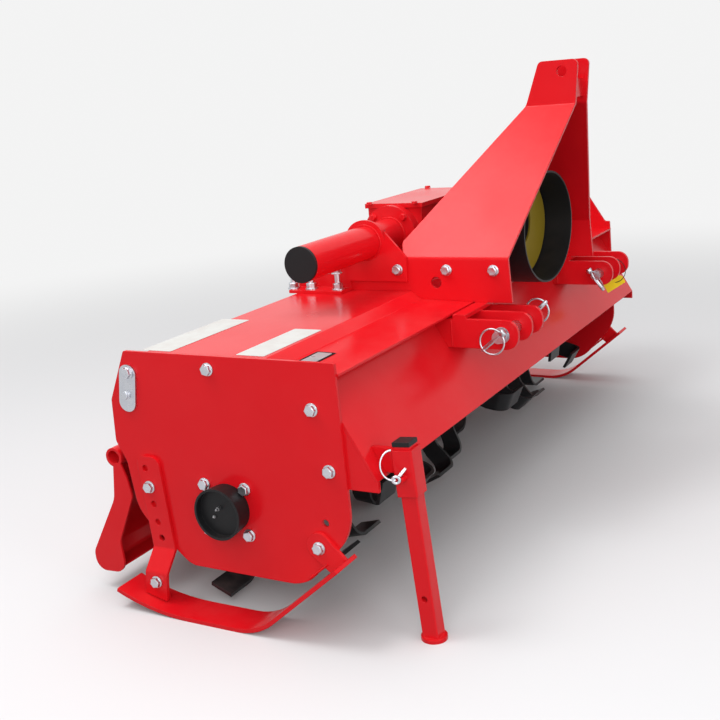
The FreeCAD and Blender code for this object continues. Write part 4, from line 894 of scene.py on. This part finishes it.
def clearRays(tree, left):
    # 1 for what the camera, mirrors and glass see, 0 for light on the machine
    rays = addNode(tree, "ShaderNodeLightPath", (left, 0))
    seen = addNode(tree, "ShaderNodeMath", (left + 200, 0), operation="MAXIMUM")
    clear = addNode(tree, "ShaderNodeMath", (left + 350, 0), operation="MAXIMUM")
    tree.links.new(rays.outputs["Is Camera Ray"], seen.inputs[0])
    tree.links.new(rays.outputs["Is Glossy Ray"], seen.inputs[1])
    tree.links.new(seen.outputs["Value"], clear.inputs[0])
    tree.links.new(rays.outputs["Is Transmission Ray"], clear.inputs[1])
    return clear.outputs["Value"]


def paleFloor():
    # pale where it is seen, darker for the light it throws back, and fading into the backdrop far out
    material = bpy.data.materials.new("paleFloor")
    material.use_nodes = True
    tree = material.node_tree
    shader = tree.nodes["Principled BSDF"]
    link = tree.links.new
    clear = clearRays(tree, -900)
    coordinates = addNode(tree, "ShaderNodeTexCoord", (-900, -300))
    distance = addNode(tree, "ShaderNodeVectorMath", (-700, -300), operation="LENGTH")
    fade = addNode(tree, "ShaderNodeMapRange", (-500, -300), interpolation_type="SMOOTHSTEP")
    fade.inputs["From Min"].default_value = studio["fadeFrom"]
    fade.inputs["From Max"].default_value = studio["fadeTo"]
    link(coordinates.outputs["Object"], distance.inputs[0])
    link(distance.outputs["Value"], fade.inputs["Value"])
    far = addNode(tree, "ShaderNodeMath", (-350, -200), operation="MULTIPLY")
    link(fade.outputs["Result"], far.inputs[0])
    link(clear, far.inputs[1])
    near = mixColor(tree, (-300, 100), clear, studio["floorBounce"], studio["floorPale"])
    color = mixColor(tree, (-100, 100), far.outputs["Value"], near, (0.0, 0.0, 0.0))
    glow = mixColor(tree, (-100, -200), far.outputs["Value"], (0.0, 0.0, 0.0), (studio["backdrop"],) * 3)
    link(color, shader.inputs["Base Color"])
    link(glow, shader.inputs["Emission Color"])
    shader.inputs["Emission Strength"].default_value = 1.0
    shader.inputs["Roughness"].default_value = 0.9
    shader.inputs["Specular IOR Level"].default_value = 0.0
    return material


deselect()
bpy.ops.mesh.primitive_plane_add(size=studio["floorSize"])
floor = bpy.context.active_object
floor.name = "studioFloor"
floor.data.materials.append(paleFloor())

world = bpy.data.worlds.new("studioWorld")
bpy.context.scene.world = world
world.use_nodes = True
tree = world.node_tree
background = tree.nodes["Background"]
strength = addNode(tree, "ShaderNodeMapRange", (-200, 0))
strength.inputs["To Min"].default_value = studio["skyLight"]
strength.inputs["To Max"].default_value = studio["backdrop"]
tree.links.new(clearRays(tree, -700), strength.inputs["Value"])
tree.links.new(strength.outputs["Result"], background.inputs["Strength"])
background.inputs["Color"].default_value = (1, 1, 1, 1)

lamps = {
    "overheadLamp": {"place": (0.9, -0.3, 4.4), "size": 5.5, "power": 115},
    "mastLamp": {"place": (1.75, -1.45, 4.3), "size": 1.4, "power": 55},
    "sideLamp": {"place": (4.4, 1.9, 2.2), "size": 3.0, "power": 82},
    "frontLamp": {"place": (1.5, 4.5, 1.2), "size": 2.5, "power": 48},
}
lampTarget = Vector((0, 0, 0.4))
for name, lamp in lamps.items():
    light = bpy.data.lights.new(name, "AREA")
    light.size = lamp["size"]
    light.energy = lamp["power"]
    holder = bpy.data.objects.new(name, light)
    holder.location = lamp["place"]
    holder.rotation_euler = (lampTarget - Vector(lamp["place"])).to_track_quat("-Z", "Y").to_euler()
    bpy.context.scene.collection.objects.link(holder)

# the photograph's viewpoint: turned from -X towards -Y, tipped down and rolled a little
viewpoint = {
    "place": (2666.16, 1347.37, 853.78), "yaw": 30.1025, "pitch": 14.3878, "roll": -4.8564, "lens": 53.67,
}
yaw, pitch, roll = (math.radians(viewpoint[key]) for key in ("yaw", "pitch", "roll"))
forward = Vector((-math.cos(yaw) * math.cos(pitch), -math.sin(yaw) * math.cos(pitch), -math.sin(pitch)))
level = forward.cross(Vector((0, 0, 1))).normalized()
upright = level.cross(forward)
right = level * math.cos(roll) + upright * math.sin(roll)
up = upright * math.cos(roll) - level * math.sin(roll)
camera = bpy.data.objects.new("photoCamera", bpy.data.cameras.new("photoCamera"))
camera.data.lens = viewpoint["lens"]
camera.data.sensor_width = 36
turn = Matrix((right, up, -forward)).transposed().to_4x4()
camera.matrix_world = Matrix.Translation(at(*viewpoint["place"])) @ turn
bpy.context.scene.collection.objects.link(camera)
bpy.context.scene.camera = camera
bpy.context.scene.view_settings.view_transform = "Standard"
print("studio")
